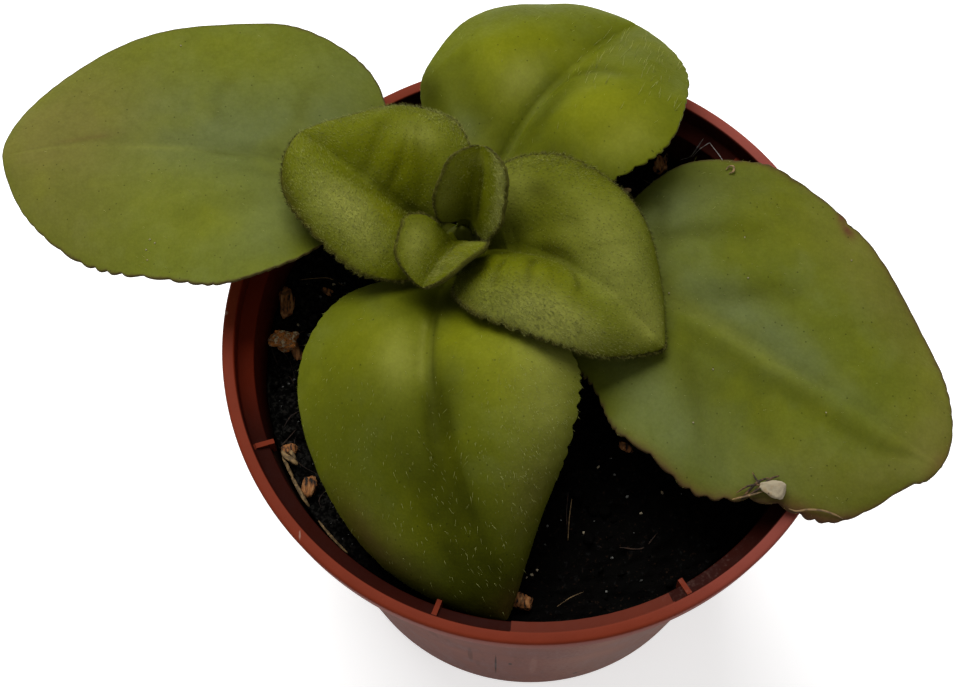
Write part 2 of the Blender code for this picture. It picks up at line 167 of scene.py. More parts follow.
# From where to where, towards the right, the dry stretch at the left fades out
DRIER_LEFT = (-0.032, -0.022)
MIX_SEED = 31
CRUMB_SIZES = (0.0009, 0.0027)
GRIT_SIZES = (0.0003, 0.0009)
GREY_SIZES = (0.0002, 0.0007)
FULL_TURN = 6.28
# How often the ball that a lump starts from is divided: for the three grains, and for the small bits
FINE_BALL = 4
BIT_BALL = 3
ROOT_SEED = 8
ROOTS = 60
ROOT_LENGTHS = (0.0020, 0.0070)
ROOT_RADII = (0.00004, 0.00012)
ROOT_LIFTS = (0.0002, 0.0008)
ROOT_MARGIN = 0.0008

# Stem
STEM_X, STEM_Y = -0.010, 0.014
STEM_RADIUS = 0.0042
STEM_SEGMENTS = 48
STEM_RINGS = 60
# From where to where, upwards, it lies in the crown's shade
STEM_SHADE = (0.0815, 0.0840)
# Its outline, narrower above each pair of leaves: (share of its radius, height)
STEM_STEPS = (
    (0.80, 0.0583),
    (1.00, 0.0620),
    (0.97, 0.0763),
    (0.83, 0.0785),
    (0.78, 0.0803),
    (0.69, 0.0825),
    (0.44, 0.0836),
    (0.32, 0.0850),
    (0.17, 0.0863),
    (0.08, 0.0872),
)

# Leaves
MIDRIB_STEPS = 120
ROW_SLANT = 0.18
LEAST_DROOP = 1e-3
RIDGE_THICKNESS = 0.0026
RIDGE_FADE = 0.4
ROOT_DEPTH = 0.0016
STALK_STEP = 0.0006
EDGE_ROUND_SHARE = 0.6
MIDRIB_WIDTH = 0.0009
SIDE_VEIN_WIDTH = 0.22
# Columns lie closer together towards the margins, by this share.
COLUMN_CROWDING = 0.72
# How far into the blade the teeth move its points, where on a tooth its tip is, how blunt it is, and what
# share of its depth is cut inwards
TOOTH_REACH = 0.0016
TOOTH_SKEW = 1.2
TOOTH_BLUNTNESS = 0.7
TOOTH_INWARD = 0.6
# No two teeth are alike: their spacing wanders, their depths are scattered, and the margin waves a little.
TOOTH_WANDER, TOOTH_WANDER_RATE = 0.30, 37
TOOTH_SCATTER, TOOTH_SCATTER_RATE = 0.55, 12.9898
MARGIN_WAVE, MARGIN_WAVE_RATE = 0.0002, 23
# The tissue's low swellings: size of the broad, the middle and the fine ones
SWELLING_SIZES = (0.007, 0.0024, 0.0011)
PERLITE_TAPER = 0.8
PERLITE_LEAF = "leaf_right"
PERLITE_SPOT = (0.70, -0.90)
PERLITE_SIZE = (0.0034, 0.0022, 0.0018)
# Of these, deep is painted shade, and pale, grey and yellow are partly the leaf's own colour and partly
# painted light, sheen and glow.
TINTS = ("grey", "olive", "yellow", "deep", "brown", "pale")
# What tells old tissue from young: size and relief of its cells, spacing of its pin dots, share that shows
OLD_TISSUE = {"grain": 0.00045, "relief": 0.25, "dot_grid": 0.0010, "dots": 0.04}
YOUNG_TISSUE = {"grain": 0.00038, "relief": 0.50, "dot_grid": 0.00065, "dots": 0.60}
# A hair's middle and tip: how far along it they are, and how far they bend aside, as shares of its length
HAIR_MIDDLE = (0.50, 0.10)
HAIR_TIP = (0.95, 0.42)
HAIR_TAPER = 0.3
# Hairs longer than this bend; shorter ones are straight spikes.
BENT_FROM = 0.0006
BENT_FACES = np.array([
    (0, 1, 4), (0, 4, 3), (1, 2, 5), (1, 5, 4), (2, 0, 3), (2, 3, 5),
    (3, 4, 6), (4, 5, 6), (5, 3, 6), (0, 2, 1),
])
SPIKE_FACES = np.array([(0, 1, 3), (1, 2, 3), (2, 0, 3), (0, 2, 1)])
# Fringe hairs stand on this many of the outermost columns, and point away from the one at FRINGE_AIM.
FRINGE_COLUMNS = 5
FRINGE_AIM = 6
FRINGE_FROM_ROW = 0.02


@dataclass
class Patch:
    """A soft spot of another tint on a leaf: its middle and its spread, as shares of the blade. Deep patches
    are painted shade; pale, grey and yellow ones are partly painted light.
    """

    tint: str
    along: float
    across: float
    long: float
    wide: float
    amount: float


def tinted(**tints):
    """Patches from rows of (along, across, long, wide, amount) for each tint."""
    return tuple(Patch(tint, *row) for tint, rows in tints.items() for row in rows)


@dataclass
class Swell:
    """A soft dome on a leaf: its middle and its spread, as shares of the blade, and its height."""

    along: float
    across: float
    long: float
    wide: float
    height: float


@dataclass
class Crease:
    """A furrow along a path of (along, across) places, and the tint that it brings. A deep tint is painted
    shade in the furrow.
    """

    path: tuple
    width: float
    depth: float
    tint: str
    amount: float


@dataclass
class Tuft:
    """A stretch of hairs on a leaf: its middle and its spread, how many they are, how long and how thick,
    and how far they lean to the tip."""

    along: float
    across: float
    long: float
    wide: float
    count: int
    length: float
    thick: float = 0.00004
    lean: float = 0.45


@dataclass
class Leaf:
    """One leaf. Angles are in degrees; a pair gives the value at the start and at the tip."""

    name: str
    stem_height: float
    stem_reach: float
    heading: tuple
    rise: tuple
    roll: tuple
    petiole: float
    length: float
    half_widths: tuple
    fold: tuple
    droop: tuple
    widest: float
    shoulder: float
    point: float
    heading_ease: float = 1.0
    rise_ease: float = 1.0
    dome: float = 0.0
    ripple: tuple = (0.0003, 2.0)
    petiole_half_width: float = 0.0024
    bulges: tuple = ()
    young: bool = False
    rows: int = 216
    columns: int = 84
    teeth: int = 28
    tooth: tuple = (0.0004, 0.0004)
    notches: tuple = ()
    edge: float = 0.0005
    rim: float = 0.00022
    veins: float = 6.0
    vein_sweep: float = 0.30
    pillow: float = 0.00008
    groove: float = 0.00020
    pebble: float = 0.00005
    swells: tuple = ()
    creases: tuple = ()
    patches: tuple = ()
    tufts: tuple = ()
    fringe: int = 400
    fringe_length: float = 0.0003


# In the leaves' patches and creases, deep paints shade, and pale, grey and yellow partly paint light.
LEAVES = (
    Leaf(
        "leaf_left", 0.0761, 0.0045, heading=(130, 186), rise=(29, -7), roll=(6, 8),
        petiole=0.0135, length=0.0555, half_widths=(0.0256, 0.0217), fold=(22, 1), droop=(3, 24),
        widest=0.35, shoulder=0.88, point=1.02, heading_ease=0.47, rise_ease=0.47,
        ripple=(0.0006, 2.2), bulges=((1, 0.9, 0.06, 0.0016), (-1, 0.4, 0.1, -0.0005)),
        teeth=30, tooth=(0.00034, 0.00008), rim=0.0004, pillow=0.00004, groove=0.00008, pebble=0.00003,
        creases=(
            Crease(((0.42, 0.05), (0.6, 0.04), (0.84, 0.0), (1.0, 0.0)), 0.0004, 0.00005, "pale", 0.16),
            Crease(((0.05, 0.0), (0.25, 0.01), (0.5, 0.05)), 0.0006, 0.0003, "deep", 0.4),
            Crease(((0.42, -0.15), (0.44, -0.36), (0.4, -0.6)), 0.0012, 0.0001, "deep", 0.25),
            Crease(((0.22, -0.25), (0.23, -0.46), (0.2, -0.65)), 0.001, 0.0001, "deep", 0.25),
            Crease(((0.15, 0.3), (0.35, 0.42), (0.52, 0.62)), 0.002, 0.0001, "deep", 0.18),
            Crease(((0.7, -0.08), (0.78, -0.08), (0.86, -0.07)), 0.0004, 0.00002, "brown", 0.22),
        ),
        patches=tinted(
            grey=((0.45, -0.12, 0.24, 0.35, 0.7), (0.23, 0.58, 0.12, 0.35, 0.6),
                  (0.14, -0.5, 0.14, 0.5, 0.6), (0.5, 0.0, 0.6, 1.2, 0.3)),
            olive=((0.97, 0.0, 0.34, 1.3, 0.9), (0.84, -0.35, 0.2, 0.5, 0.4)),
            yellow=((0.42, 0.54, 0.22, 0.3, 0.3), (0.35, -0.72, 0.25, 0.25, 0.3)),
            deep=((0.28, 0.13, 0.18, 0.09, 0.25), (0.05, 0.8, 0.14, 0.2, 0.4)),
            brown=((0.72, -0.1, 0.05, 0.05, 0.12),),
        ),
        tufts=(Tuft(0.55, 0.84, 0.03, 0.1, 10, 0.0005), Tuft(0.5, 0.0, 0.6, 1.2, 50, 0.0004)),
        fringe=260, fringe_length=0.00018,
    ),
    Leaf(
        "leaf_right", 0.0755, 0.0045, heading=(8, -39.5), rise=(22, -4), roll=(3, -2.5),
        petiole=0.0155, length=0.057, half_widths=(0.0225, 0.0225), fold=(23, 11), droop=(30, 44),
        widest=0.275, shoulder=0.86, point=1.0, heading_ease=0.22, rise_ease=0.53,
        ripple=(-0.0009, 2.6),
        bulges=(
            (1, 0.285, 0.185, 0.0033), (1, 0.57, 0.12, 0.004), (-1, 0.34, 0.13, -0.0038),
            (-1, 0.62, 0.06, 0.0027), (-1, 0.81, 0.073, 0.0045), (-1, 0.91, 0.041, -0.006),
        ),
        teeth=36, tooth=(0.00018, 0.00055), notches=((1, 0.6, 0.006, 0.0008),),
        rim=0.00065, pillow=0.00008, groove=0.0001,
        creases=(
            Crease(((0.11, 0.36), (0.19, 0.43), (0.29, 0.52), (0.38, 0.62)), 0.0016, 0.00045, "deep", 0.4),
            Crease(((0.26, 0.08), (0.37, 0.21), (0.43, 0.31), (0.52, 0.47)), 0.0016, 0.0004, "deep", 0.35),
            Crease(((0.05, 0.75), (0.1, 0.6), (0.12, 0.4), (0.17, 0.2)), 0.0011, 0.0003, "deep", 0.35),
            Crease(((0.1, 0.06), (0.3, 0.02), (0.44, -0.02), (0.64, -0.07)), 0.0011, 0.00008, "pale", 0.22),
            Crease(((0.2, -0.13), (0.34, -0.13), (0.48, -0.15), (0.71, -0.2), (0.86, -0.24), (0.97, -0.3)),
                   0.0024, 0.0003, "deep", 0.5),
            Crease(((0.3, -0.2), (0.4, -0.5), (0.52, -0.8)), 0.0016, 0.0002, "deep", 0.22),
            Crease(((0.5, -0.2), (0.6, -0.5), (0.7, -0.75)), 0.0016, 0.0002, "deep", 0.18),
        ),
        patches=tinted(
            grey=((0.12, 0.6, 0.1, 0.3, 0.9), (0.35, 0.15, 0.22, 0.12, 0.8),
                  (0.58, 0.05, 0.2, 0.12, 0.6), (0.3, -0.68, 0.15, 0.25, 0.6),
                  (0.48, -0.76, 0.15, 0.22, 0.5), (0.66, -0.85, 0.1, 0.2, 0.5),
                  (0.5, 0.0, 0.6, 1.2, 0.12)),
            olive=((0.65, 0.85, 0.3, 0.25, 0.6), (0.97, 0.2, 0.12, 0.9, 0.8),
                   (0.8, -0.7, 0.2, 0.3, 0.35)),
            deep=((0.39, -0.4, 0.2, 0.2, 0.4), (0.15, 0.85, 0.12, 0.2, 0.5)),
            brown=((0.5, 0.93, 0.02, 0.035, 1.0), (0.47, 0.99, 0.012, 0.05, 1.0),
                   (0.82, -1.0, 0.14, 0.09, 0.9), (1.0, 0.0, 0.025, 1.2, 0.6),
                   (0.72, 1.02, 0.22, 0.07, 0.6), (0.5, -1.0, 0.2, 0.06, 0.6),
                   (0.3, 1.02, 0.1, 0.05, 0.45)),
        ),
        tufts=(Tuft(0.15, 0.3, 0.14, 0.5, 130, 0.0005), Tuft(0.5, 0.0, 0.5, 1.0, 110, 0.0004)),
        fringe=300, fringe_length=0.00018,
    ),
    Leaf(
        "leaf_far", 0.079, 0.0042, heading=(67.5, 39.5), rise=(38, -22), roll=(-6, -18),
        petiole=0.0065, length=0.037, half_widths=(0.019, 0.022), fold=(40, 16), droop=(57, 30),
        widest=0.48, shoulder=0.96, point=1.0, heading_ease=0.78, rise_ease=0.66, dome=0.0015,
        bulges=((1, 0.32, 0.09, 0.0015), (1, 0.75, 0.07, -0.0015), (-1, 0.71, 0.11, -0.0011)),
        teeth=28, tooth=(0.0001, 0.00034), rim=0.0001, veins=4.0, pillow=0.00006, groove=0.0001,
        swells=(Swell(0.4, 0.5, 0.16, 0.28, 0.0011), Swell(0.42, -0.45, 0.16, 0.28, 0.0014)),
        creases=(
            Crease(((0.14, 0.07), (0.23, 0.4), (0.31, 0.61), (0.36, 0.8)), 0.0024, 0.0009, "deep", 0.35),
            Crease(((0.05, 0.0), (0.17, -0.03), (0.33, 0.01), (0.43, 0.02), (0.55, 0.02)),
                   0.0008, 0.0004, "deep", 0.1),
            Crease(((0.43, 0.0), (0.55, -0.03), (0.59, -0.15), (0.61, -0.35), (0.63, -0.6)),
                   0.0012, 0.0003, "deep", 0.35),
        ),
        patches=tinted(
            grey=((0.15, 0.42, 0.06, 0.18, 0.9),),
            yellow=((0.42, -0.62, 0.17, 0.3, 0.9), (0.42, 0.45, 0.17, 0.28, 0.7),
                    (0.62, 0.25, 0.12, 0.3, 0.3)),
            deep=((0.2, 0.88, 0.09, 0.26, 1.0), (0.16, 0.08, 0.1, 0.12, 0.4),
                  (0.3, -0.17, 0.22, 0.11, 0.6), (0.2, -0.46, 0.08, 0.2, 0.55),
                  (0.85, -0.35, 0.2, 0.8, 0.28), (0.7, 0.8, 0.18, 0.22, 0.3)),
            pale=((0.4, 0.22, 0.12, 0.13, 0.65), (0.38, -0.8, 0.12, 0.16, 0.35),
                  (0.05, 0.45, 0.06, 0.3, 0.6)),
        ),
        tufts=(
            Tuft(0.76, -0.45, 0.22, 0.42, 85, 0.0014, 0.00006, 1.1),
            Tuft(0.5, 0.0, 0.5, 1.0, 70, 0.0006),
        ),
        fringe=360, fringe_length=0.00025,
    ),
    Leaf(
        "leaf_near", 0.079, 0.0042, heading=(-115, -51), rise=(49, -61), roll=(4, 10),
        petiole=0.005, length=0.0565, half_widths=(0.022, 0.02), fold=(23, -7), droop=(46, 65),
        widest=0.32, shoulder=0.93, point=1.08, heading_ease=0.9, rise_ease=0.92, dome=0.0012,
        teeth=32, tooth=(0.0006, 0.00026), rim=0.0001, pillow=0.00007, groove=0.00006,
        swells=(Swell(0.22, -0.25, 0.14, 0.28, 0.001), Swell(0.28, 0.55, 0.14, 0.3, 0.001)),
        creases=(
            Crease(((0.1, 0.02), (0.2, 0.04), (0.3, 0.04), (0.42, 0.04)), 0.0007, 0.0003, "deep", 0.6),
            Crease(((0.14, -0.05), (0.24, -0.04), (0.34, -0.04)), 0.0006, 0.0, "pale", 0.45),
            Crease(((0.34, 0.04), (0.48, 0.04), (0.6, 0.04), (0.82, 0.06)), 0.0018, 0.0006, "deep", 0.8),
        ),
        patches=tinted(
            olive=((0.7, 0.7, 0.14, 0.3, 0.6), (0.72, -0.7, 0.12, 0.22, 0.6)),
            yellow=((0.2, 0.2, 0.1, 0.2, 0.55), (0.24, -0.35, 0.09, 0.4, 0.7),
                    (0.32, 0.5, 0.12, 0.22, 0.8)),
            deep=((0.07, 0.0, 0.09, 0.8, 0.85), (0.42, -0.6, 0.22, 0.42, 0.45),
                  (0.58, -0.12, 0.2, 0.3, 0.75), (0.8, 0.0, 0.2, 0.38, 0.9),
                  (0.36, 0.12, 0.1, 0.12, 0.55), (0.95, 0.0, 0.12, 1.2, 0.75)),
            brown=((0.66, -0.88, 0.12, 0.18, 0.45), (0.97, 0.3, 0.06, 0.8, 0.4)),
            pale=((0.27, -0.18, 0.07, 0.14, 0.6), (0.4, 0.78, 0.18, 0.26, 0.8),
                  (0.24, 0.85, 0.07, 0.22, 0.6), (0.6, 0.88, 0.1, 0.14, 0.3)),
        ),
        tufts=(
            Tuft(0.64, 0.05, 0.28, 0.6, 200, 0.0008, 0.000035, 0.5),
            Tuft(0.42, 0.75, 0.18, 0.3, 500, 0.00045), Tuft(0.4, -0.55, 0.2, 0.4, 130, 0.0005),
            Tuft(0.5, 0.0, 0.5, 1.0, 200, 0.00035),
        ),
        fringe=520, fringe_length=0.0003,
    ),
    Leaf(
        "leaf_centre_left", 0.0825, 0.0034, heading=(157, 135), rise=(41, -8), roll=(-9, 15),
        petiole=0.001, length=0.025, half_widths=(0.014, 0.015), fold=(46, 23), droop=(43, 57),
        widest=0.31, shoulder=0.7, point=1.15, dome=0.0008, young=True, rows=216, columns=64,
        teeth=34, tooth=(0.00034, 0.00034), edge=0.0009, rim=0.0006, veins=4.5, groove=0.0001,
        pebble=0.00008,
        swells=(Swell(0.47, -0.45, 0.08, 0.3, 0.0005), Swell(0.7, -0.5, 0.09, 0.3, 0.0005)),
        creases=(
            Crease(((0.05, -0.05), (0.4, 0.07), (0.67, 0.2)), 0.0007, 0.0004, "deep", 0.2),
            Crease(((0.52, 0.0), (0.57, -0.35), (0.64, -0.75)), 0.0009, 0.0004, "deep", 0.3),
            Crease(((0.17, -0.1), (0.27, -0.35), (0.38, -0.6), (0.46, -0.8)),
                   0.0009, 0.0004, "deep", 0.2),
            Crease(((0.35, 0.0), (0.42, -0.4), (0.5, -0.75)), 0.0007, 0.0002, "deep", 0.2),
        ),
        patches=tinted(
            grey=((0.5, 0.6, 0.25, 0.25, 0.6),),
            yellow=((0.34, 0.24, 0.1, 0.16, 1.0), (0.42, -0.38, 0.14, 0.25, 0.8)),
            deep=((0.3, 0.02, 0.25, 0.14, 0.3), (0.8, 0.95, 0.22, 0.16, 0.8),
                  (0.52, 1.0, 0.3, 0.1, 0.7), (0.7, -1.0, 0.16, 0.18, 0.6),
                  (0.22, 0.12, 0.08, 0.14, 0.6)),
            brown=((0.45, 1.06, 0.3, 0.08, 0.45),),
            pale=((0.5, 0.5, 0.15, 0.22, 1.0), (0.33, 0.7, 0.1, 0.16, 0.45),
                  (0.4, -0.68, 0.13, 0.14, 0.45), (0.07, -0.5, 0.1, 0.3, 0.6)),
        ),
        tufts=(
            Tuft(0.5, 0.62, 0.3, 0.3, 3800, 0.00044), Tuft(0.5, -0.3, 0.6, 0.8, 2200, 0.0003),
            Tuft(0.9, -0.2, 0.14, 0.8, 600, 0.0005), Tuft(0.3, -0.95, 0.22, 0.12, 1400, 0.00036),
        ),
        fringe=4200, fringe_length=0.0004,
    ),
    Leaf(
        "leaf_centre_right", 0.0825, 0.0034, heading=(-25, -44), rise=(54, -43), roll=(11, -17),
        petiole=0.001, length=0.0335, half_widths=(0.015, 0.014), fold=(51, 12), droop=(37, 65),
        widest=0.29, shoulder=0.78, point=1.45, dome=0.0008, young=True, rows=228, columns=68,
        teeth=40, tooth=(0.00032, 0.00038), edge=0.0009, rim=0.0006, veins=4.5, groove=0.0001,
        pebble=0.00008,
        swells=(Swell(0.38, -0.35, 0.16, 0.25, 0.001),),
        creases=(
            Crease(((0.1, -0.12), (0.25, 0.0), (0.41, 0.05), (0.5, -0.05), (0.56, -0.25), (0.58, -0.45)),
                   0.0008, 0.0004, "deep", 0.3),
            Crease(((0.22, -0.25), (0.25, -0.5), (0.28, -0.7)), 0.0006, 0.0003, "deep", 0.5),
            Crease(((0.33, -0.15), (0.37, -0.4), (0.41, -0.6)), 0.0006, 0.0003, "deep", 0.5),
            Crease(((0.12, 0.1), (0.21, 0.14), (0.36, 0.32), (0.45, 0.45)), 0.002, 0.0007, "deep", 0.12),
        ),
        patches=tinted(
            grey=((0.6, 0.35, 0.25, 0.4, 0.7), (0.45, -0.85, 0.3, 0.2, 0.8),
                  (0.75, 0.1, 0.2, 0.6, 0.6)),
            yellow=((0.4, -0.42, 0.15, 0.24, 0.6), (0.38, 0.25, 0.16, 0.2, 0.4),
                    (0.17, -0.5, 0.05, 0.25, 0.8)),
            deep=((0.25, 0.58, 0.06, 0.14, 0.8), (0.32, -0.2, 0.12, 0.12, 0.4),
                  (0.36, 0.1, 0.08, 0.14, 0.7), (0.48, 1.0, 0.25, 0.08, 0.7),
                  (0.2, -0.95, 0.08, 0.16, 0.7)),
            brown=((0.5, -1.05, 0.4, 0.1, 0.55),),
            pale=((0.53, 0.48, 0.16, 0.3, 0.6), (0.68, 0.1, 0.14, 0.3, 0.4),
                  (0.5, -0.74, 0.2, 0.22, 1.0), (0.6, -0.85, 0.14, 0.2, 0.5),
                  (0.88, 0.0, 0.1, 0.6, 0.8), (0.12, 0.55, 0.09, 0.4, 0.55)),
        ),
        tufts=(
            Tuft(0.42, -0.82, 0.32, 0.26, 4400, 0.0005), Tuft(0.6, 0.2, 0.4, 0.7, 2800, 0.0003),
            Tuft(0.22, 0.92, 0.18, 0.12, 1600, 0.00038),
        ),
        fringe=5200, fringe_length=0.00048,
    ),
    Leaf(
        "leaf_bud_far", 0.086, 0.0018, heading=(59, 79), rise=(84, 35), roll=(7, -4),
        petiole=0.001, length=0.0125, half_widths=(0.006, 0.0071), fold=(43, 35), droop=(-6, 2),
        widest=0.43, shoulder=0.75, point=0.93, petiole_half_width=0.0016, ripple=(0.0001, 1.5),
        young=True, rows=96, columns=40, teeth=16, tooth=(0.00018, 0.00018),
        edge=0.0008, rim=0.0005, veins=3.0, pebble=0.00006,
        creases=(Crease(((0.05, -0.3), (0.4, -0.15), (0.85, -0.1)), 0.0006, 0.0004, "deep", 0.7),),
        patches=tinted(
            yellow=((0.5, 0.4, 0.5, 0.7, 1.0),),
            deep=((0.3, -0.2, 0.3, 0.12, 0.3),),
            pale=((0.6, -0.9, 0.5, 0.2, 0.6), (0.4, 0.75, 0.4, 0.35, 0.45), (0.85, 0.1, 0.1, 0.4, 0.3)),
        ),
        tufts=(
            Tuft(0.6, -0.85, 0.45, 0.2, 1900, 0.00036), Tuft(0.5, 0.3, 0.5, 0.6, 700, 0.00028),
        ),
        fringe=2200, fringe_length=0.00036,
    ),
    Leaf(
        "leaf_bud_near", 0.086, 0.0018, heading=(-122, -115), rise=(53, -7), roll=(0, 11),
        petiole=0.001, length=0.0105, half_widths=(0.0075, 0.0073), fold=(38, 44), droop=(20, 0),
        widest=0.45, shoulder=0.8, point=0.96, petiole_half_width=0.0016, ripple=(0.0001, 1.5),
        young=True, rows=96, columns=40, teeth=16, tooth=(0.00018, 0.00018),
        edge=0.0008, rim=0.0005, veins=3.0, pebble=0.00006,
        creases=(Crease(((0.1, 0.1), (0.45, 0.05), (0.9, 0.0)), 0.0006, 0.0003, "deep", 0.5),),
        patches=tinted(
            yellow=((0.45, 0.4, 0.3, 0.4, 0.8),),
            deep=((0.12, 0.0, 0.2, 0.5, 0.4),),
            pale=((0.2, 0.6, 0.2, 0.4, 0.3), (0.55, -0.6, 0.3, 0.3, 0.7)),
        ),
        tufts=(
            Tuft(0.7, 0.5, 0.4, 0.5, 1400, 0.0004), Tuft(0.5, -0.3, 0.5, 0.6, 800, 0.00028),
        ),
        fringe=2000, fringe_length=0.0004,
    ),
)


@dataclass
class Bit:
    """A loose bit on the mix, in millimetres: its finish, its place, its sizes, and its turn in degrees."""

    finish: str
    x: float
    y: float
    sizes: tuple
    turn: float


BITS = (
    Bit("bark", -35.2, 3.1, (1.5, 3.0, 1.3), 25),
    Bit("bark", -3.3, -36.1, (2.4, 3.4, 1.8), 75),
    Bit("bark", -36.2, -12.4, (2.2, 1.7, 1.2), 10),
    Bit("bark", -33.9, -18.6, (2.4, 3.2, 1.6), -30),
    Bit("bark", 12.8, -13.5, (2.2, 1.1, 0.9), -25),
    Bit("bark", 21.6, 33.5, (1.8, 2.6, 1.3), 20),
    Bit("bark", 22.9, 35.3, (1.2, 2.0, 1.0), -35),
    Bit("bark", 20.4, 31.6, (1.4, 1.6, 1.0), 5),
    Bit("bark", -30.6, 12.6, (1.0, 1.8, 0.9), 60),
    Bit("glint", -1.6, -32.0, (0.55, 0.35, 0.3), 0),
    Bit("glint", -2.3, -32.4, (0.35, 0.25, 0.25), 30),
    Bit("glint", -0.8, -31.5, (0.35, 0.3, 0.25), 60),
    Bit("glint", -29.7, 13.8, (0.55, 0.35, 0.4), 15),
    Bit("glint", -35.1, 7.4, (0.4, 0.35, 0.35), 80),
    Bit("glint", 8.7, -16.3, (0.45, 0.3, 0.3), 45),
    Bit("glint", 14.5, -23.5, (0.4, 0.35, 0.3), 10),
    Bit("glint", 6.1, -26.1, (0.35, 0.3, 0.25), 70),
    Bit("glint", 17.7, -20.6, (0.5, 0.3, 0.3), 120),
    Bit("husk", -37.3, -14.2, (1.1, 2.2, 0.7), 35),
)


@dataclass
class Strand:
    """A husk, straw or root, in millimetres: its finish, its thickness, how flat it is, and its course as
    (x, y, height above the mix)."""

    finish: str
    thick: float
    flat: float
    course: tuple


STRANDS = (
    Strand("husk", 0.95, 0.5,
           ((-37.4, -12.4, 0.9), (-36.8, -13.5, 1.5), (-35.6, -14.4, 1.6), (-34.9, -15.0, 1.2))),
    Strand("husk", 0.65, 0.6,
           ((-37.7, -13.2, 0.6), (-37.2, -14.4, 1.1), (-36.3, -15.4, 1.2), (-35.6, -16.9, 0.7))),
    Strand("husk", 0.6, 0.6, ((-36.6, -12.1, 0.8), (-35.8, -13.2, 1.4), (-35.2, -14.2, 1.5))),
    Strand("husk", 0.6, 0.5,
           ((-36.9, -16.3, 0.5), (-36.3, -18.5, 1.0), (-34.8, -20.4, 1.2), (-33.3, -21.4, 0.7))),
    Strand("husk", 0.45, 0.6,
           ((-31.9, -23.5, 0.9), (-31.5, -26.0, 1.3), (-30.3, -27.9, 1.1), (-28.6, -29.1, 0.6))),
    Strand("fibre", 0.14, 1.0,
           ((-34.8, 14.3, 0.7), (-32.5, 14.8, 1.0), (-30.3, 14.5, 1.2), (-28.0, 13.2, 0.7))),
    Strand("fibre", 0.12, 1.0, ((1.7, -37.1, 0.7), (3.7, -36.0, 1.1), (5.6, -35.2, 0.8))),
    Strand("fibre", 0.16, 1.0, ((4.6, -21.2, 0.7), (4.1, -24.2, 1.0), (3.8, -27.2, 0.6))),
    Strand("fibre", 0.2, 1.0, ((20.3, 31.0, 0.6), (22.0, 34.1, 1.4), (23.6, 35.9, 1.0))),
    Strand("web", 0.08, 1.0, ((26.5, 33.0, 4.0), (27.1, 32.4, 7.0), (27.9, 31.4, 10.0))),
    Strand("web", 0.08, 1.0, ((28.6, 34.0, 10.0), (26.8, 33.2, 6.0), (25.0, 31.3, 4.0))),
    Strand("web", 0.07, 1.0, ((27.9, 31.4, 10.0), (30.0, 30.2, 9.2), (31.6, 28.6, 7.6))),
    Strand("web", 0.07, 1.0, ((24.6, 33.6, 1.0), (26.0, 32.6, 4.6), (28.6, 34.0, 10.0))),
)
# The same on the right-hand leaf, as (row, across, height above the leaf).
LEAF_STRANDS = (
    Strand("twig", 0.46, 0.8,
           ((0.663, -0.98, 0.3), (0.676, -0.96, 0.6), (0.686, -0.9, 0.8), (0.694, -0.84, 0.9),
            (0.704, -0.8, 0.6))),
    Strand("twig", 0.4, 0.8,
           ((0.668, -0.99, 0.1), (0.674, -0.93, 0.6), (0.681, -0.87, 0.9), (0.692, -0.83, 0.5))),
    Strand("twig", 0.28, 1.0, ((0.671, -0.81, 0.5), (0.679, -0.86, 0.8), (0.689, -0.9, 1.1))),
    Strand("twig", 0.24, 1.0, ((0.709, -0.84, 0.6), (0.716, -0.89, 1.3), (0.716, -0.94, 0.5))),
    Strand("twig", 0.34, 0.8,
           ((0.66, -0.95, 0.3), (0.672, -0.9, 0.8), (0.69, -0.88, 0.9), (0.704, -0.84, 1.0))),
    Strand("husk", 0.3, 0.7, ((0.658, -0.99, 0.4), (0.672, -0.97, 0.9), (0.69, -0.93, 1.0))),
    Strand("twig", 0.2, 1.0, ((0.668, -1.0, 0.5), (0.684, -0.92, 1.1), (0.7, -0.86, 1.2))),
    Strand("husk", 0.34, 0.7,
           ((0.408, 0.9, 0.2), (0.412, 0.925, 0.5), (0.424, 0.918, 0.7), (0.43, 0.89, 0.5),
            (0.422, 0.875, 0.2))),
    Strand("fibre", 0.34, 0.6,
           ((0.729, -1.0, 0.1), (0.741, -0.99, 0.3), (0.756, -0.943, 0.5), (0.779, -0.907, 0.5),
            (0.801, -0.925, 0.3), (0.815, -0.97, 0.1))),
    Strand("husk", 1.1, 0.4, ((0.124, 1.0, 1.6), (0.14, 0.98, 2.2), (0.158, 0.95, 1.8))),
)
# Tiny pale specks on the leaves, partly grains and partly painted highlights where hair tips glint: (leaf,
# row, across).
SPECKS = (
    ("leaf_right", 0.528, 0.507), ("leaf_right", 0.561, 0.314), ("leaf_right", 0.631, 0.8),
    ("leaf_right", 0.744, -0.2), ("leaf_right", 0.583, -0.293), ("leaf_right", 0.583, -0.65),
    ("leaf_right", 0.47, 0.055), ("leaf_left", 0.611, 0.75), ("leaf_left", 0.611, 0.821),
    ("leaf_left", 0.603, 0.886), ("leaf_left", 0.601, 0.771), ("leaf_left", 0.608, -0.821),
)
SPECK_SIZE = 0.0002


@dataclass
class Mark:
    """A scuff or crack on the pot: its middle, how far it spreads along each axis, and how strong it is."""

    place: tuple
    spread: tuple
    dark: bool
    amount: float


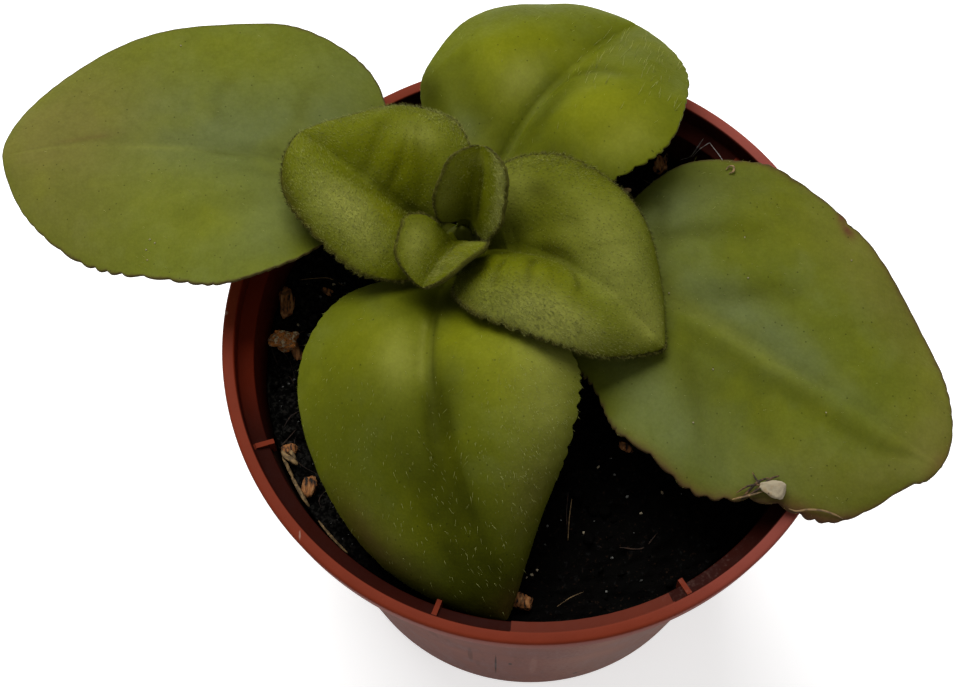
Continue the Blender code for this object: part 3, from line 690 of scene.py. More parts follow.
POT_MARKS = (
    Mark((-0.007, -0.035, 0.026), (0.0002, 0.008, 0.017), True, 0.9),
    Mark((-0.0047, -0.0362, 0.0296), (0.00035, 0.004, 0.0016), True, 0.9),
    Mark((0.0065, -0.0334, 0.0088), (0.0005, 0.004, 0.0014), True, 0.9),
    Mark((0.008, -0.0336, 0.01), (0.0008, 0.004, 0.0005), True, 0.6),
    Mark((-0.011, -0.035, 0.033), (0.0005, 0.006, 0.013), True, 0.35),
    Mark((-0.001, -0.035, 0.03), (0.0008, 0.006, 0.02), False, 0.12),
    # A broad paler stretch over the near right of the body.
    Mark((0.017, -0.032, 0.03), (0.02, 0.02, 0.05), False, 0.22),
    Mark((-0.0336, -0.0285, 0.0795), (0.00018, 0.0009, 0.0012), False, 0.6),
    Mark((-0.0445, 0.005, 0.08), (0.0005, 0.0004, 0.001), False, 0.7),
)


def colour(name, description, default):
    """A colour that a user can change."""
    return FloatVectorProperty(
        name=name, description=description, default=default, subtype="COLOR", min=0, max=1
    )


def size(name, description, default):
    """A length that a user can change."""
    return FloatProperty(
        name=name, description=description, default=default, min=0, unit="LENGTH", precision=5
    )


def amount(name, description, default):
    """A share from none to all that a user can change."""
    return FloatProperty(
        name=name, description=description, default=default, min=0, max=1, subtype="FACTOR"
    )


class PrimulinaPotSettings(bpy.types.PropertyGroup):
    """Colours of the nursery pot."""

    lip: colour("Lip", "Colour of the clean lip", (0.140, 0.021, 0.008))
    lip_paler_right: colour("Worn lip", "Colour of the lip's paler right side", (0.260, 0.067, 0.054))
    # The inside colours are painted shade: the inner wall is the same plastic, painted dark for the shade
    # inside the pot.
    inside: colour("Inside", "Colour of the stained inner wall", (0.018, 0.0020, 0.0006))
    # Painted light: the inner wall is painted less dark at the back left.
    inside_painted_lit: colour("Clean inside", "Colour of its cleaner left side", (0.120, 0.012, 0.003))
    # Painted shade at its own level for the back of the inner wall.
    inside_far: colour("Far inside", "Colour of the inner wall at the back", (0.030, 0.0036, 0.0012))
    # Painted deep shade: the inner wall darkens to near black down towards the mix.
    painted_deep_shade: colour("Soiled inside", "Colour of the wall where wet mix touched it", (0.006, 0.0015, 0.001))
    # Painted shade: the pad is the lip's plastic, painted darker for its lower step inside the lip.
    pad: colour("Pad", "Colour of the thicker stretch inside the lip", (0.100, 0.019, 0.010))
    lip_foot: colour("Lip foot", "Colour of the shaded foot of the lip", (0.090, 0.016, 0.010))
    body: colour("Body", "Colour of the plastic below the lip", (0.110, 0.036, 0.026))
    sheltered: colour("Sheltered", "Colour of the cleaner band below the lip", (0.130, 0.033, 0.022))
    runs: colour("Runs", "Colour of the thin runs down the outside", (0.050, 0.022, 0.016))
    dust: colour("Dust", "Colour of the dried dust on the outside", (0.152, 0.070, 0.055))
    crack: colour("Cracks", "Colour of the dark marks", (0.014, 0.006, 0.004))
    scuff: colour("Scuffs", "Colour of the pale marks", (0.300, 0.190, 0.150))
    splash: colour("Splashes", "Colour of the dried drops", (0.260, 0.170, 0.130))
    dust_amount: amount("Dust amount", "How much dust lies on the outside", 0.75)


class PrimulinaMixSettings(bpy.types.PropertyGroup):
    """Colours and crumbs of the potting mix."""

    # The mix's colours are painted near black: moist peat is dark, and these colours also carry the shade
    # inside the pot.
    peat: colour("Peat", "Colour of the moist peat", (0.0009, 0.0007, 0.0005))
    peat_dry: colour("Dry peat", "Colour of its drier crumbs", (0.007, 0.006, 0.0045))
    peat_dusty: colour("Dusty peat", "Colour of the driest mix, at the left", (0.030, 0.029, 0.025))
    grit: colour("Grit", "Colour of the fine grey grit", (0.140, 0.140, 0.125))
    # Bark and pale bark are partly the bark's own colour and partly painted light, raised for bits in the
    # leaves' shade.
    bark: colour("Bark", "Colour of the bark bits", (0.300, 0.110, 0.028))
    bark_pale: colour("Pale bark", "Colour of their worn sides", (0.480, 0.250, 0.100))
    # Clay and crust are partly the nugget's own colour and partly painted light, raised for the shade it lies
    # in.
    clay: colour("Clay", "Colour of the crusty nugget", (0.700, 0.240, 0.045))
    crust: colour("Crust", "Colour of the nugget's crust", (1.000, 0.760, 0.460))
    perlite: colour("Perlite", "Colour of the perlite grain", (0.300, 0.250, 0.165))
    husk: colour("Husk", "Colour of the pale husks", (0.270, 0.170, 0.070))
    root: colour("Root", "Colour of the dry roots", (0.040, 0.020, 0.011))
    twig: colour("Twig", "Colour of the root fibres on the right-hand leaf", (0.130, 0.070, 0.028))
    web: colour("Web", "Colour of the threads of web", (0.80, 0.78, 0.74))
    lump: size("Lump height", "How far the mix rises and falls", 0.0012)
    crumbs: IntProperty(name="Crumbs", description="Number of coarse crumbs", default=300, min=0)


class PrimulinaOldLeafSettings(bpy.types.PropertyGroup):
    """Colours of the outer leaves."""

    green: colour("Green", "Main colour", (0.092, 0.104, 0.0045))
    # Grey is partly the leaf's bloom and partly painted sheen.
    grey: colour("Grey", "Bloomy, bluish patches", (0.103, 0.121, 0.036))
    olive: colour("Olive", "Brownish patches towards the tip", (0.120, 0.110, 0.022))
    # Yellow is partly fresh tissue and partly painted glow of light through the leaf.
    yellow: colour("Yellow", "Fresh, light patches", (0.138, 0.146, 0.0015))
    # Deep is mostly painted shade: in creases, along the veins and on slopes turned from the light; a darker
    # share of it colours the pin dots.
    deep: colour("Deep", "Dark patches and grooves", (0.036, 0.040, 0.001))
    brown: colour("Brown", "Stained spots", (0.090, 0.040, 0.016))
    # Pale is partly pale midribs and hair and partly painted light on slopes turned from the lamp.
    pale: colour("Pale", "Midribs and thick hair", (0.200, 0.208, 0.034))
    margin: colour("Margin", "Line along the teeth", (0.048, 0.024, 0.014))
    under: colour("Underside", "Colour of the lower face", (0.125, 0.135, 0.045))


class PrimulinaYoungLeafSettings(bpy.types.PropertyGroup):
    """Colours of the young leaves in the middle."""

    green: colour("Green", "Main colour", (0.084, 0.093, 0.0015))
    # Grey is partly velvet and partly painted sheen.
    grey: colour("Grey", "Pale, velvety patches", (0.116, 0.128, 0.018))
    olive: colour("Olive", "Brownish patches", (0.085, 0.075, 0.012))
    # Yellow is partly fresh tissue and partly painted glow of light through the leaf.
    yellow: colour("Yellow", "Fresh, light patches", (0.100, 0.106, 0.0005))
    # Deep is mostly painted shade: in creases, along the veins and on slopes turned from the light; a darker
    # share of it colours the pin dots.
    deep: colour("Deep", "Dark patches and grooves", (0.036, 0.038, 0.0005))
    brown: colour("Brown", "Stained spots", (0.060, 0.035, 0.015))
    # Pale is partly velvet and partly painted light on slopes turned from the lamp.
    pale: colour("Pale", "Thick velvet", (0.185, 0.192, 0.034))
    margin: colour("Margin", "Dark line along the teeth", (0.045, 0.040, 0.006))
    under: colour("Underside", "Colour of the lower face", (0.110, 0.118, 0.035))


class PrimulinaHairSettings(bpy.types.PropertyGroup):
    """Size and colour of the hairs."""

    pale: colour("Hair", "Colour of the hairs on the blades", (0.420, 0.430, 0.150))
    velvet: colour("Velvet", "Colour of the short hairs on the young leaves", (0.310, 0.320, 0.085))
    fringe: colour("Fringe", "Colour of the young leaves' fringe", (0.150, 0.138, 0.030))
    thickness: size("Thickness", "Thickness of one hair of the fringe at its root", 0.00005)


class PrimulinaStageSettings(bpy.types.PropertyGroup):
    """Floor, light and camera."""

    floor: colour("Floor", "Colour of the floor", (0.80, 0.80, 0.80))
    glow: FloatProperty(name="Glow", description="How bright the lit floor is by itself", default=0.60, min=0)
    sky: FloatProperty(name="Sky", description="Strength of the even light", default=0.35, min=0)
    lamp: FloatProperty(
        name="Lamp", description="Power of the soft lamp", default=11.5, min=0, unit="POWER"
    )
    lamp_size: size("Lamp size", "Side of the soft lamp", 0.7)


class Value:
    """A number or a vector in a material's nodes. Python's operators on numbers add its Math nodes."""

    def __init__(self, finish, socket):
        self.finish = finish
        self.socket = socket

    def __add__(self, other):
        return self.finish.maths("ADD", self, other)

    def __sub__(self, other):
        return self.finish.maths("SUBTRACT", self, other)

    def __rsub__(self, other):
        return self.finish.maths("SUBTRACT", other, self)

    def __mul__(self, other):
        return self.finish.maths("MULTIPLY", self, other)

    __radd__ = __add__
    __rmul__ = __mul__


class Finish:
    """A material in the making, round one Principled shader."""

    def __init__(self, name):
        old = bpy.data.materials.get(name)
        if old:
            bpy.data.materials.remove(old)
        self.material = bpy.data.materials.new(name)
        self.material.use_nodes = True
        self.tree = self.material.node_tree
        self.shader = self.tree.nodes["Principled BSDF"]

    def feed(self, socket, value):
        """Links a Value to a socket, or sets a plain number or colour on it."""
        if isinstance(value, Value):
            self.tree.links.new(value.socket, socket)
        elif socket.type == "RGBA":
            socket.default_value = (*value[:3], 1)
        else:
            socket.default_value = value

    def node(self, kind, settings, inputs, output=0):
        """Any node: its settings are set first, then its sockets are fed."""
        made = self.tree.nodes.new(kind)
        for name, value in settings.items():
            if name == "stops":
                self.set_stops(made.color_ramp, value)
            else:
                setattr(made, name, value)
        for name, value in inputs.items():
            self.feed(made.inputs[name], value)
        return Value(self, made.outputs[output])

    def set_stops(self, ramp, stops):
        while len(ramp.elements) < len(stops):
            ramp.elements.new(0.5)
        for element, (position, shade) in zip(ramp.elements, stops):
            element.position = position
            element.color = (*shade, 1)

    def maths(self, operation, first, second):
        return self.node("ShaderNodeMath", {"operation": operation}, {0: first, 1: second})

    def vectors(self, operation, first, second=(0, 0, 0), output=0):
        return self.node("ShaderNodeVectorMath", {"operation": operation}, {0: first, 1: second}, output)

    def length(self, vector):
        return self.vectors("LENGTH", vector, output=1)

    def mix(self, factor, first, second, blend="MIX"):
        """One colour over another."""
        settings = {"data_type": "RGBA", "blend_type": blend, "clamp_factor": True}
        return self.node("ShaderNodeMix", settings, {0: factor, 6: first, 7: second}, 2)

    def ramp(self, value, stops):
        """A colour that runs through these stops as the value rises."""
        return self.node("ShaderNodeValToRGB", {"stops": stops}, {0: value})

    def step(self, value, low, high):
        """0 below low and 1 above high, with a smooth rise between."""
        settings = {"interpolation_type": "SMOOTHSTEP", "clamp": True}
        return self.node("ShaderNodeMapRange", settings, {0: value, 1: low, 2: high, 3: 0, 4: 1})

    def place(self):
        """Where the point is, in the object's own metres."""
        return self.node("ShaderNodeTexCoord", {}, {}, 3)

    def coordinate(self, vector, axis):
        """One of a vector's numbers: 0 to the right, 1 to the back, 2 up."""
        return self.node("ShaderNodeSeparateXYZ", {}, {0: vector}, axis)

    def number(self, name):
        """A number that the mesh holds at each point."""
        return self.node("ShaderNodeAttribute", {"attribute_name": name}, {}, 2)

    def vector(self, name):
        """A vector that the mesh holds at each point."""
        return self.node("ShaderNodeAttribute", {"attribute_name": name}, {}, 1)

    def clouds(self, vector, grain, detail=2.0, roughness=0.5):
        """Noise with features of about that size in metres."""
        inputs = {"Vector": vector, "Scale": 1 / grain, "Detail": detail, "Roughness": roughness}
        return self.node("ShaderNodeTexNoise", {"noise_dimensions": "3D"}, inputs)

    def cells(self, vector, grain, output=0, dimensions="3D"):
        """Voronoi cells of about that size in metres: how far the middle of the cell is, or its colour."""
        settings = {"voronoi_dimensions": dimensions}
        return self.node("ShaderNodeTexVoronoi", settings, {"Vector": vector, "Scale": 1 / grain}, output)

    def chosen(self, vector, grain, share, dimensions="3D"):
        """1 in about that share of the same cells."""
        draw = self.node("ShaderNodeSeparateColor", {}, {0: self.cells(vector, grain, 1, dimensions)})
        return self.step(draw, 1 - share - 0.02, 1 - share + 0.02)

    def bump(self, height, distance, strength=1.0):
        inputs = {"Height": height, "Distance": distance, "Strength": strength}
        return self.node("ShaderNodeBump", {}, inputs)

    def done(self, colour, roughness, **sockets):
        """Feeds the shader's sockets and gives the material."""
        self.feed(self.shader.inputs["Base Color"], colour)
        self.feed(self.shader.inputs["Roughness"], roughness)
        for name, value in sockets.items():
            self.feed(self.shader.inputs[name.replace("_", " ")], value)
        return self.material


def pot_finish(pot):
    """Terracotta-coloured plastic: a clean lip, an inside darkened with painted shade, and dust dried on in
    vertical streaks.
    """
    f = Finish("terracotta_plastic")
    place = f.place()
    height = f.coordinate(place, 2)
    rightward = f.coordinate(place, 0)
    backward = f.coordinate(place, 1)
    flat = f.vectors("MULTIPLY", place, (1, 1, 0))
    radius = f.length(flat)
    slope = (SHOULDER_RADIUS - FOOT_RADIUS) / LIP_BOTTOM
    wall_middle = height * slope + (FOOT_RADIUS - WALL / 2)
    lip = f.step(height, *LIP_HEIGHTS)
    lip = lip * f.step(radius, *LIP_RADII)
    outer = f.step(radius - wall_middle, -BORDER, BORDER)
    inner = 1 - outer * (1 - f.step(height, LIP_BOTTOM, LIP_BOTTOM + BORDER))
    lip_foot = lip * (1 - f.step(height, *LIP_FOOT_HEIGHTS))
    sheltered = f.step(height, *SHELTER_START) * (1 - f.step(height, *SHELTER_END))
    streaks = f.clouds(f.vectors("MULTIPLY", place, (1, 1, 0.07)), 0.0014, 4.0, 0.60)
    smears = f.clouds(place, 0.010, 3.0, 0.55)
    grain = f.clouds(place, 0.0005, 2.0)
    dusty = f.step(0.40 * streaks + 0.60 * smears, 0.60 - 0.36 * pot.dust_amount, 0.66)
    body = f.mix(dusty * (0.30 + 0.70 * pot.dust_amount), pot.body, pot.dust)
    runs = f.clouds(f.vectors("MULTIPLY", place, (1, 1, 0.02)), 0.0018, 2.0)
    body = f.mix(f.step(runs, 0.62, 0.76) * 0.25, body, pot.runs)
    body = f.mix(sheltered * 0.60, body, pot.sheltered)
    # Painted light and shade on the inner wall: lighter at the back left, and darker down towards the mix,
    # less so at the back left.
    clean = (1 - f.step(rightward, *PAINTED_LIGHT_LEFT)) * f.step(backward, *PAINTED_LIGHT_BACK)
    painted_deep_shade = (1 - f.step(height + (smears - 0.5) * 0.006, *DEEP_SHADE_HEIGHTS)) * (0.9 - 0.45 * clean)
    inside = f.mix(clean, pot.inside, pot.inside_painted_lit)
    # The back of the inner wall takes its own level of painted shade.
    far = f.step(backward, *FAR_WALL)
    inside = f.mix(far * 0.85, inside, pot.inside_far)
    inside = f.mix(painted_deep_shade, inside, pot.painted_deep_shade)
    colour = f.mix(inner, body, inside)
    middle = (PAD_START + PAD_END) / 2
    heading = f.vectors("NORMALIZE", flat)
    towards_pad = f.vectors("DOT_PRODUCT", heading, (math.cos(middle), math.sin(middle), 0), 1)
    reach = math.cos((PAD_END - PAD_START) / 2 + PAD_MARGIN)
    on_pad = f.step(towards_pad, reach - BORDER, reach + BORDER)
    on_pad = on_pad * f.step(height, LEDGE_TOP - BORDER, LEDGE_TOP)
    # Painted shade: the pad is coloured darker than the lip.
    colour = f.mix(on_pad, colour, pot.pad)
    raised = f.step(height, *RIB_HEIGHTS)
    for degrees in RIB_ANGLES:
        ahead = (math.cos(math.radians(degrees)), math.sin(math.radians(degrees)), 0)
        off_line = f.length(f.vectors("CROSS_PRODUCT", flat, ahead))
        facing = f.vectors("DOT_PRODUCT", flat, ahead, 1)
        rib = (1 - f.step(off_line, *RIB_SIDES)) * f.step(facing, *RIB_FRONT)
        rib = rib * raised * (1 - f.step(radius, *RIB_BACK)) * inner
        colour = f.mix(rib, colour, pot.lip)
    # The lip grows paler towards the right.
    worn = f.step(rightward, *PALER_RIGHT) * 0.7
    colour = f.mix(lip, colour, f.mix(worn, pot.lip, pot.lip_paler_right))
    colour = f.mix(lip_foot * 0.30, colour, pot.lip_foot)
    for mark in POT_MARKS:
        away = f.vectors("SUBTRACT", place, mark.place)
        spread = f.length(f.vectors("MULTIPLY", away, [1 / part for part in mark.spread]))
        marked = 1 - f.step(spread + (grain - 0.5) * 0.8, 0.5, 1.0)
        colour = f.mix(marked * mark.amount, colour, pot.crack if mark.dark else pot.scuff)
    splashed = (1 - f.step(f.cells(place, 0.0050), 0.03, 0.05)) * f.chosen(place, 0.0050, 0.3)
    colour = f.mix(splashed * 0.5, colour, pot.splash)
    unevenness = f.ramp(smears, ((0.3, (0.90,) * 3), (0.7, (1.10,) * 3)))
    colour = f.mix(1.0, colour, unevenness, "MULTIPLY")
    roughness = 0.52 + 0.25 * dusty * (1 - lip) + 0.12 * grain
    normal = f.bump(grain * 0.5 + smears, 0.00010, 0.5)
    return f.done(colour, roughness, Normal=normal, Specular_IOR_Level=0.05)


def leaf_finish(name, tints, grain, relief, dot_grid, dots):
    """Leaf tissue: soft tints, some of them painted shade and painted light, clouded and finely cellular,
    with pin dots and a tinted margin.
    """
    f = Finish(name)
    place = f.vector("leaf_place")
    clouds = f.clouds(place, 0.0060, 4.0, 0.6)
    blotches = f.clouds(place, 0.0016, 3.0, 0.6)
    cell = f.cells(place, grain)
    colour = f.mix(f.step(clouds, 0.45, 0.70) * 0.25, tints.green, tints.grey)
    # The tints' patches and creases, with their painted shade and painted light.
    for tint in TINTS:
        colour = f.mix(f.number(tint) * (0.65 + 0.7 * clouds), colour, getattr(tints, tint))
    # Painted shade along the sunken veins.
    vein = f.number("vein")
    colour = f.mix(vein * 0.12, colour, tints.deep)
    yellowing = f.step(f.clouds(place, 0.0095, 2.0), 0.50, 0.72)
    colour = f.mix(yellowing * 0.20, colour, tints.yellow)
    shade = 0.68 + 0.28 * clouds + 0.28 * blotches + 0.12 * (1 - cell)
    colour = f.mix(1.0, colour, shade, "MULTIPLY")
    pin = 1 - f.step(f.cells(place, dot_grid, 0, "2D"), 0.06, 0.16)
    pin = pin * f.chosen(place, dot_grid, dots, "2D")
    colour = f.mix(pin * 0.60, colour, [part * 0.35 for part in tints.deep])
    rim = f.step(f.number("rim") + (blotches - 0.5) * 0.7, 0.15, 0.85)
    colour = f.mix(f.number("under"), colour, f.mix(vein * 0.6, tints.under, tints.grey))
    colour = f.mix(rim * 0.80, colour, tints.margin)
    roughness = 0.46 + 0.18 * cell + 0.10 * clouds
    normal = f.bump(1 - cell * 0.9 + blotches * 0.6, 0.00008, relief)
    return f.done(
        colour, roughness, Normal=normal, Specular_IOR_Level=0.03, Subsurface_Weight=0.10,
        Subsurface_Scale=0.0008, Subsurface_Radius=(0.6, 1.0, 0.2),
    )


def stalk_finish(tints):
    """The stem's pale green, finely streaked along it."""
    f = Finish("stem_green")
    place = f.place()
    streaks = f.clouds(f.vectors("MULTIPLY", place, (1, 1, 0.25)), 0.0009, 3.0)
    clouds = f.clouds(place, 0.004, 2.0)
    colour = f.mix(streaks, tints.green, tints.under)
    colour = f.mix(f.step(clouds, 0.5, 0.7) * 0.5, colour, tints.olive)
    shaded = f.step(f.coordinate(place, 2), *STEM_SHADE)
    colour = f.mix(shaded * 0.9, colour, tints.deep)
    return f.done(colour, 0.5 + 0.2 * streaks, Normal=f.bump(streaks, 0.0001), Specular_IOR_Level=0.1)


def hair_finish(name, hair, grain, darkest):
    """Pale, slightly glassy hairs, some of them darker."""
    f = Finish(name)
    tint = f.clouds(f.place(), grain, 2.0)
    colour = f.mix(f.step(tint, 0.40, 0.60), [part * darkest for part in hair], hair)
    return f.done(colour, 0.5 + 0.2 * tint, Specular_IOR_Level=0.05)


def peat_finish(mix):
    """Moist, dark peat whose near-black colour is partly painted shade inside the pot, with drier brown
    crumbs and a wet gleam here and there.
    """
    f = Finish("peat")
    place = f.place()
    lumps = f.clouds(place, 0.0022, 5.0, 0.65)
    fine = f.clouds(place, 0.0006, 3.0, 0.6)
    colour = f.ramp(lumps, ((0.44, mix.peat), (0.62, mix.peat), (0.80, mix.peat_dry)))
    colour = f.mix(f.step(fine, 0.60, 0.74) * 0.35, colour, mix.root)
    drier = (1 - f.step(f.coordinate(place, 0), *DRIER_LEFT)) * f.step(fine, 0.46, 0.62)
    colour = f.mix(drier * 0.35, colour, mix.peat_dusty)
    wet = f.step(f.clouds(place, 0.0011, 2.0), 0.60, 0.70)
    normal = f.bump(lumps + fine * 0.4, 0.0005)
    return f.done(colour, 0.90 - 0.45 * wet, Normal=normal, Specular_IOR_Level=0.04)


def bark_finish(mix):
    """Fibrous bark, dark with worn pale ridges."""
    f = Finish("bark")
    place = f.place()
    fibres = f.clouds(f.vectors("MULTIPLY", place, (1, 0.2, 1)), 0.0005, 4.0, 0.6)
    patches = f.clouds(place, 0.0013, 2.0)
    colour = f.ramp(fibres, ((0.40, mix.peat_dry), (0.52, mix.bark), (0.72, mix.bark_pale)))
    colour = f.mix(f.step(patches, 0.54, 0.68) * 0.6, colour, mix.peat_dry)
    return f.done(colour, 0.65 + 0.25 * fibres, Normal=f.bump(fibres, 0.0004), Specular_IOR_Level=0.3)


def clay_finish(mix):
    """An orange nugget with a pale mineral crust."""
    f = Finish("clay")
    place = f.place()
    crust = f.step(f.clouds(place, 0.0008, 4.0, 0.65), 0.47, 0.58)
    pits = f.cells(place, 0.0005)
    colour = f.mix(crust, mix.clay, mix.crust)
    colour = f.mix((1 - f.step(pits, 0.12, 0.32)) * 0.7, colour, mix.peat_dry)
    return f.done(colour, 0.75 + 0.2 * crust, Normal=f.bump(pits + crust, 0.0003))


def perlite_finish(mix):
    """A porous off-white grain with peat in a few of its pores."""
    f = Finish("perlite")
    place = f.place()
    clouds = f.clouds(place, 0.0009, 3.0)
    pore = (1 - f.step(f.cells(place, 0.0010), 0.10, 0.18)) * f.chosen(place, 0.0010, 0.35)
    colour = f.mix(f.step(clouds, 0.50, 0.68) * 0.4, mix.perlite, mix.husk)
    colour = f.mix(pore, colour, mix.peat_dry)
    return f.done(colour, 0.85 + 0.1 * clouds, Normal=f.bump(clouds, 0.0002), Specular_IOR_Level=0.3)


def strand_finish(name, tint, dark):
    """Dry husks and roots, mottled along their length."""
    f = Finish(name)
    spots = f.clouds(f.place(), 0.0008, 3.0)
    colour = f.mix(f.step(spots, 0.40, 0.62), [part * dark for part in tint], tint)
    return f.done(colour, 0.6 + 0.3 * spots, Normal=f.bump(spots, 0.0001), Specular_IOR_Level=0.3)


def floor_finish(stage):
    """A plain white table, lit a little from below."""
    f = Finish("floor_pale")
    haze = f.clouds(f.place(), 0.12, 2.0)
    colour = f.mix(haze, stage.floor, [part * 0.985 for part in stage.floor])
    return f.done(colour, 0.7 + 0.1 * haze, Emission_Color=(1, 1, 1), Emission_Strength=stage.glow)


def fresh_object(name, data):
    """A new object in the scene, in place of one of that name from an earlier run."""
    old = bpy.data.objects.get(name)
    if old:
        bpy.data.objects.remove(old, do_unlink=True)
    obj = bpy.data.objects.new(name, data)
    bpy.context.scene.collection.objects.link(obj)
    return obj


def add_piece(name, shape, material, slot, nodes=(), values=None):
    """A mesh piece on the root body. values holds numbers or vectors for each of its points."""
    points, faces = shape
    mesh = bpy.data.meshes.new(name)
    mesh.from_pydata(points.tolist(), [], faces)
    mesh.shade_smooth()
    for key, numbers in (values or {}).items():
        is_vector = numbers.ndim == 2
        layer = mesh.attributes.new(key, "FLOAT_VECTOR" if is_vector else "FLOAT", "POINT")
        layer.data.foreach_set("vector" if is_vector else "value", numbers.ravel())
    mesh.materials.append(material)
    obj = fresh_object(name, mesh)
    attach(obj, "root")
    if nodes:
        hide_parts(*nodes)
    return obj


def unit(vectors):
    """Each vector at length 1."""
    return vectors / np.maximum(np.linalg.norm(vectors, axis=-1, keepdims=True), 1e-12)


def between(pair, share):
    """The value at that share of the way from the first to the second."""
    return pair[0] + (pair[1] - pair[0]) * share


def closed_loft(rings, start, end):
    """A closed surface through rings of equally many points, with one point at either end."""
    count, around = rings.shape[:2]
    points = np.concatenate([rings.reshape(-1, 3), [start, end]])
    here = np.arange(around)
    after = (here + 1) % around
    base = np.arange(count - 1)[:, None] * around
    quads = np.stack(
        [base + here, base + after, base + after + around, base + here + around], axis=-1
    ).reshape(-1, 4)
    first, last = count * around, count * around + 1
    final = (count - 1) * around
    caps = [(first, after[i], here[i]) for i in here]
    caps += [(last, final + here[i], final + after[i]) for i in here]
    faces = quads.tolist() + [tuple(int(corner) for corner in cap) for cap in caps]
    a, b, c, d = (points[quads[:, corner]] for corner in range(4))
    volume = np.einsum("ij,ij->", a, np.cross(b, c)) + np.einsum("ij,ij->", a, np.cross(c, d))
    if volume < 0:
        faces = [tuple(reversed(face)) for face in faces]
    return points, faces


def joined(shapes):
    """Several shapes as one."""
    points, faces, start = [], [], 0
    for some_points, some_faces in shapes:
        points.append(some_points)
        faces += [tuple(corner + start for corner in face) for face in some_faces]
        start += len(some_points)
    return np.concatenate(points), faces


def noise_at(points, grain, seed=0.0):
    """Smooth noise from -1 to 1 at each point, with features of about that size in metres."""
    flat = points.reshape(-1, points.shape[-1]) / grain
    shift = np.array([seed * 17.3, seed * 5.1, seed * 11.7])[: flat.shape[1]]
    if flat.shape[1] == 2:
        spots = [(x, y, seed) for x, y in (flat + shift).tolist()]
    else:
        spots = (flat + shift).tolist()
    return np.array([noise.noise(spot) for spot in spots]).reshape(points.shape[:-1])


def rounded(corners, steps=5):
    """Points of an outline whose corners are (radius, height, rounding)."""
    points = [np.array(corners[0][:2])]
    for before, corner, after in zip(corners, corners[1:], corners[2:]):
        middle = np.array(corner[:2])
        if corner[2] == 0:
            points.append(middle)
            continue
        back = np.array(before[:2]) - middle
        on = np.array(after[:2]) - middle
        start = middle + back / np.linalg.norm(back) * corner[2]
        end = middle + on / np.linalg.norm(on) * corner[2]
        for share in np.linspace(0, 1, steps):
            points.append((1 - share) ** 2 * start + 2 * share * (1 - share) * middle + share**2 * end)
    points.append(np.array(corners[-1][:2]))
    return np.array(points)


def spaced(points, step):
    """The same outline with more points on its long stretches."""
    made = [points[0]]
    for start, end in zip(points, points[1:]):
        parts = max(1, math.ceil(np.linalg.norm(end - start) / step))
        made += [start + (end - start) * part / parts for part in range(1, parts + 1)]
    return np.array(made)


def circle_points(segments):
    """Points round a flat circle of radius 1."""
    around = np.linspace(0, 2 * math.pi, segments, endpoint=False)
    return np.stack([np.cos(around), np.sin(around)], axis=-1)


def level_ring(segments, radius, height):
    """A circle of points round Z."""
    return np.column_stack([circle_points(segments) * radius, np.full(segments, height)])


def wall_radius(height):
    """The pot's outer wall between its foot and its shoulder."""
    return FOOT_RADIUS + (SHOULDER_RADIUS - FOOT_RADIUS) * height / LIP_BOTTOM


def held_inside(places, heights, clearance):
    """Draws places in until they clear the pot's inner wall at those heights."""
    reach = wall_radius(heights) - WALL - clearance
    return places * np.minimum(1, reach / np.linalg.norm(places, axis=1))[:, None]


def pot_outline():
    """The pot's section from the middle of its floor, up the inside, over the lip and down the outside."""
    return spaced(rounded((
        (AXIS_GAP, FLOOR, 0),
        (wall_radius(FLOOR) - WALL, FLOOR, INNER_FOOT_ROUND),
        (SHOULDER_RADIUS - WALL, LIP_BOTTOM, 0),
        (SHOULDER_RADIUS - WALL, LEDGE_BOTTOM, LEDGE_FOOT_ROUND),
        (LIP_INNER, LEDGE_TOP, LEDGE_ROUND),
        (LIP_INNER, POT_HEIGHT, LIP_INNER_ROUND),
        (RIM_RADIUS, POT_HEIGHT, LIP_OUTER_ROUND),
        (RIM_RADIUS - LIP_TAPER, LIP_BOTTOM, LIP_BOTTOM_ROUND),
        (SHOULDER_RADIUS, LIP_BOTTOM, SHOULDER_ROUND),
        (FOOT_RADIUS, 0, FOOT_ROUND),
        (AXIS_GAP, 0, 0),
    )), POT_STEP)


def pot_shape():
    """The pot turned round its axis."""
    rings = [level_ring(POT_SEGMENTS, radius, height) for radius, height in pot_outline()]
    return closed_loft(np.array(rings), (0, 0, FLOOR), (0, 0, 0))


def drain_holes():
    """Pegs where the drain holes are."""
    bm = bmesh.new()
    for index in range(DRAIN_HOLES):
        angle = 2 * math.pi * (index + 0.5) / DRAIN_HOLES
        place = Matrix.Translation(
            (DRAIN_CIRCLE_RADIUS * math.cos(angle), DRAIN_CIRCLE_RADIUS * math.sin(angle), 0)
        )
        bmesh.ops.create_cone(
            bm, cap_ends=True, segments=DRAIN_HOLE_SEGMENTS, radius1=DRAIN_HOLE_RADIUS,
            radius2=DRAIN_HOLE_RADIUS, depth=6 * FLOOR, matrix=place,
        )
    return bm


def add_bar(bm, section, start, end, steps):
    """Adds a bar of that (radius, height) section, bent round Z from one angle to the other."""
    turn = Matrix.Rotation(start, 4, "Z")
    face = bm.faces.new([bm.verts.new(turn @ Vector((radius, 0, height))) for radius, height in section])
    bmesh.ops.spin(bm, geom=[face], axis=(0, 0, 1), cent=(0, 0, 0), angle=end - start, steps=steps)


def ribs_and_pad():
    """The ribs that keep stacked pots apart, and the stretch where the lip is thicker."""
    bm = bmesh.new()
    half_angle = RIB_WIDTH / 2 / RIB_SECTION[0][0]
    for degrees in RIB_ANGLES:
        angle = math.radians(degrees)
        add_bar(bm, RIB_SECTION, angle - half_angle, angle + half_angle, 1)
    add_bar(bm, PAD_SECTION, PAD_START, PAD_END, PAD_STEPS)
    bmesh.ops.recalc_face_normals(bm, faces=bm.faces[:])
    return bm


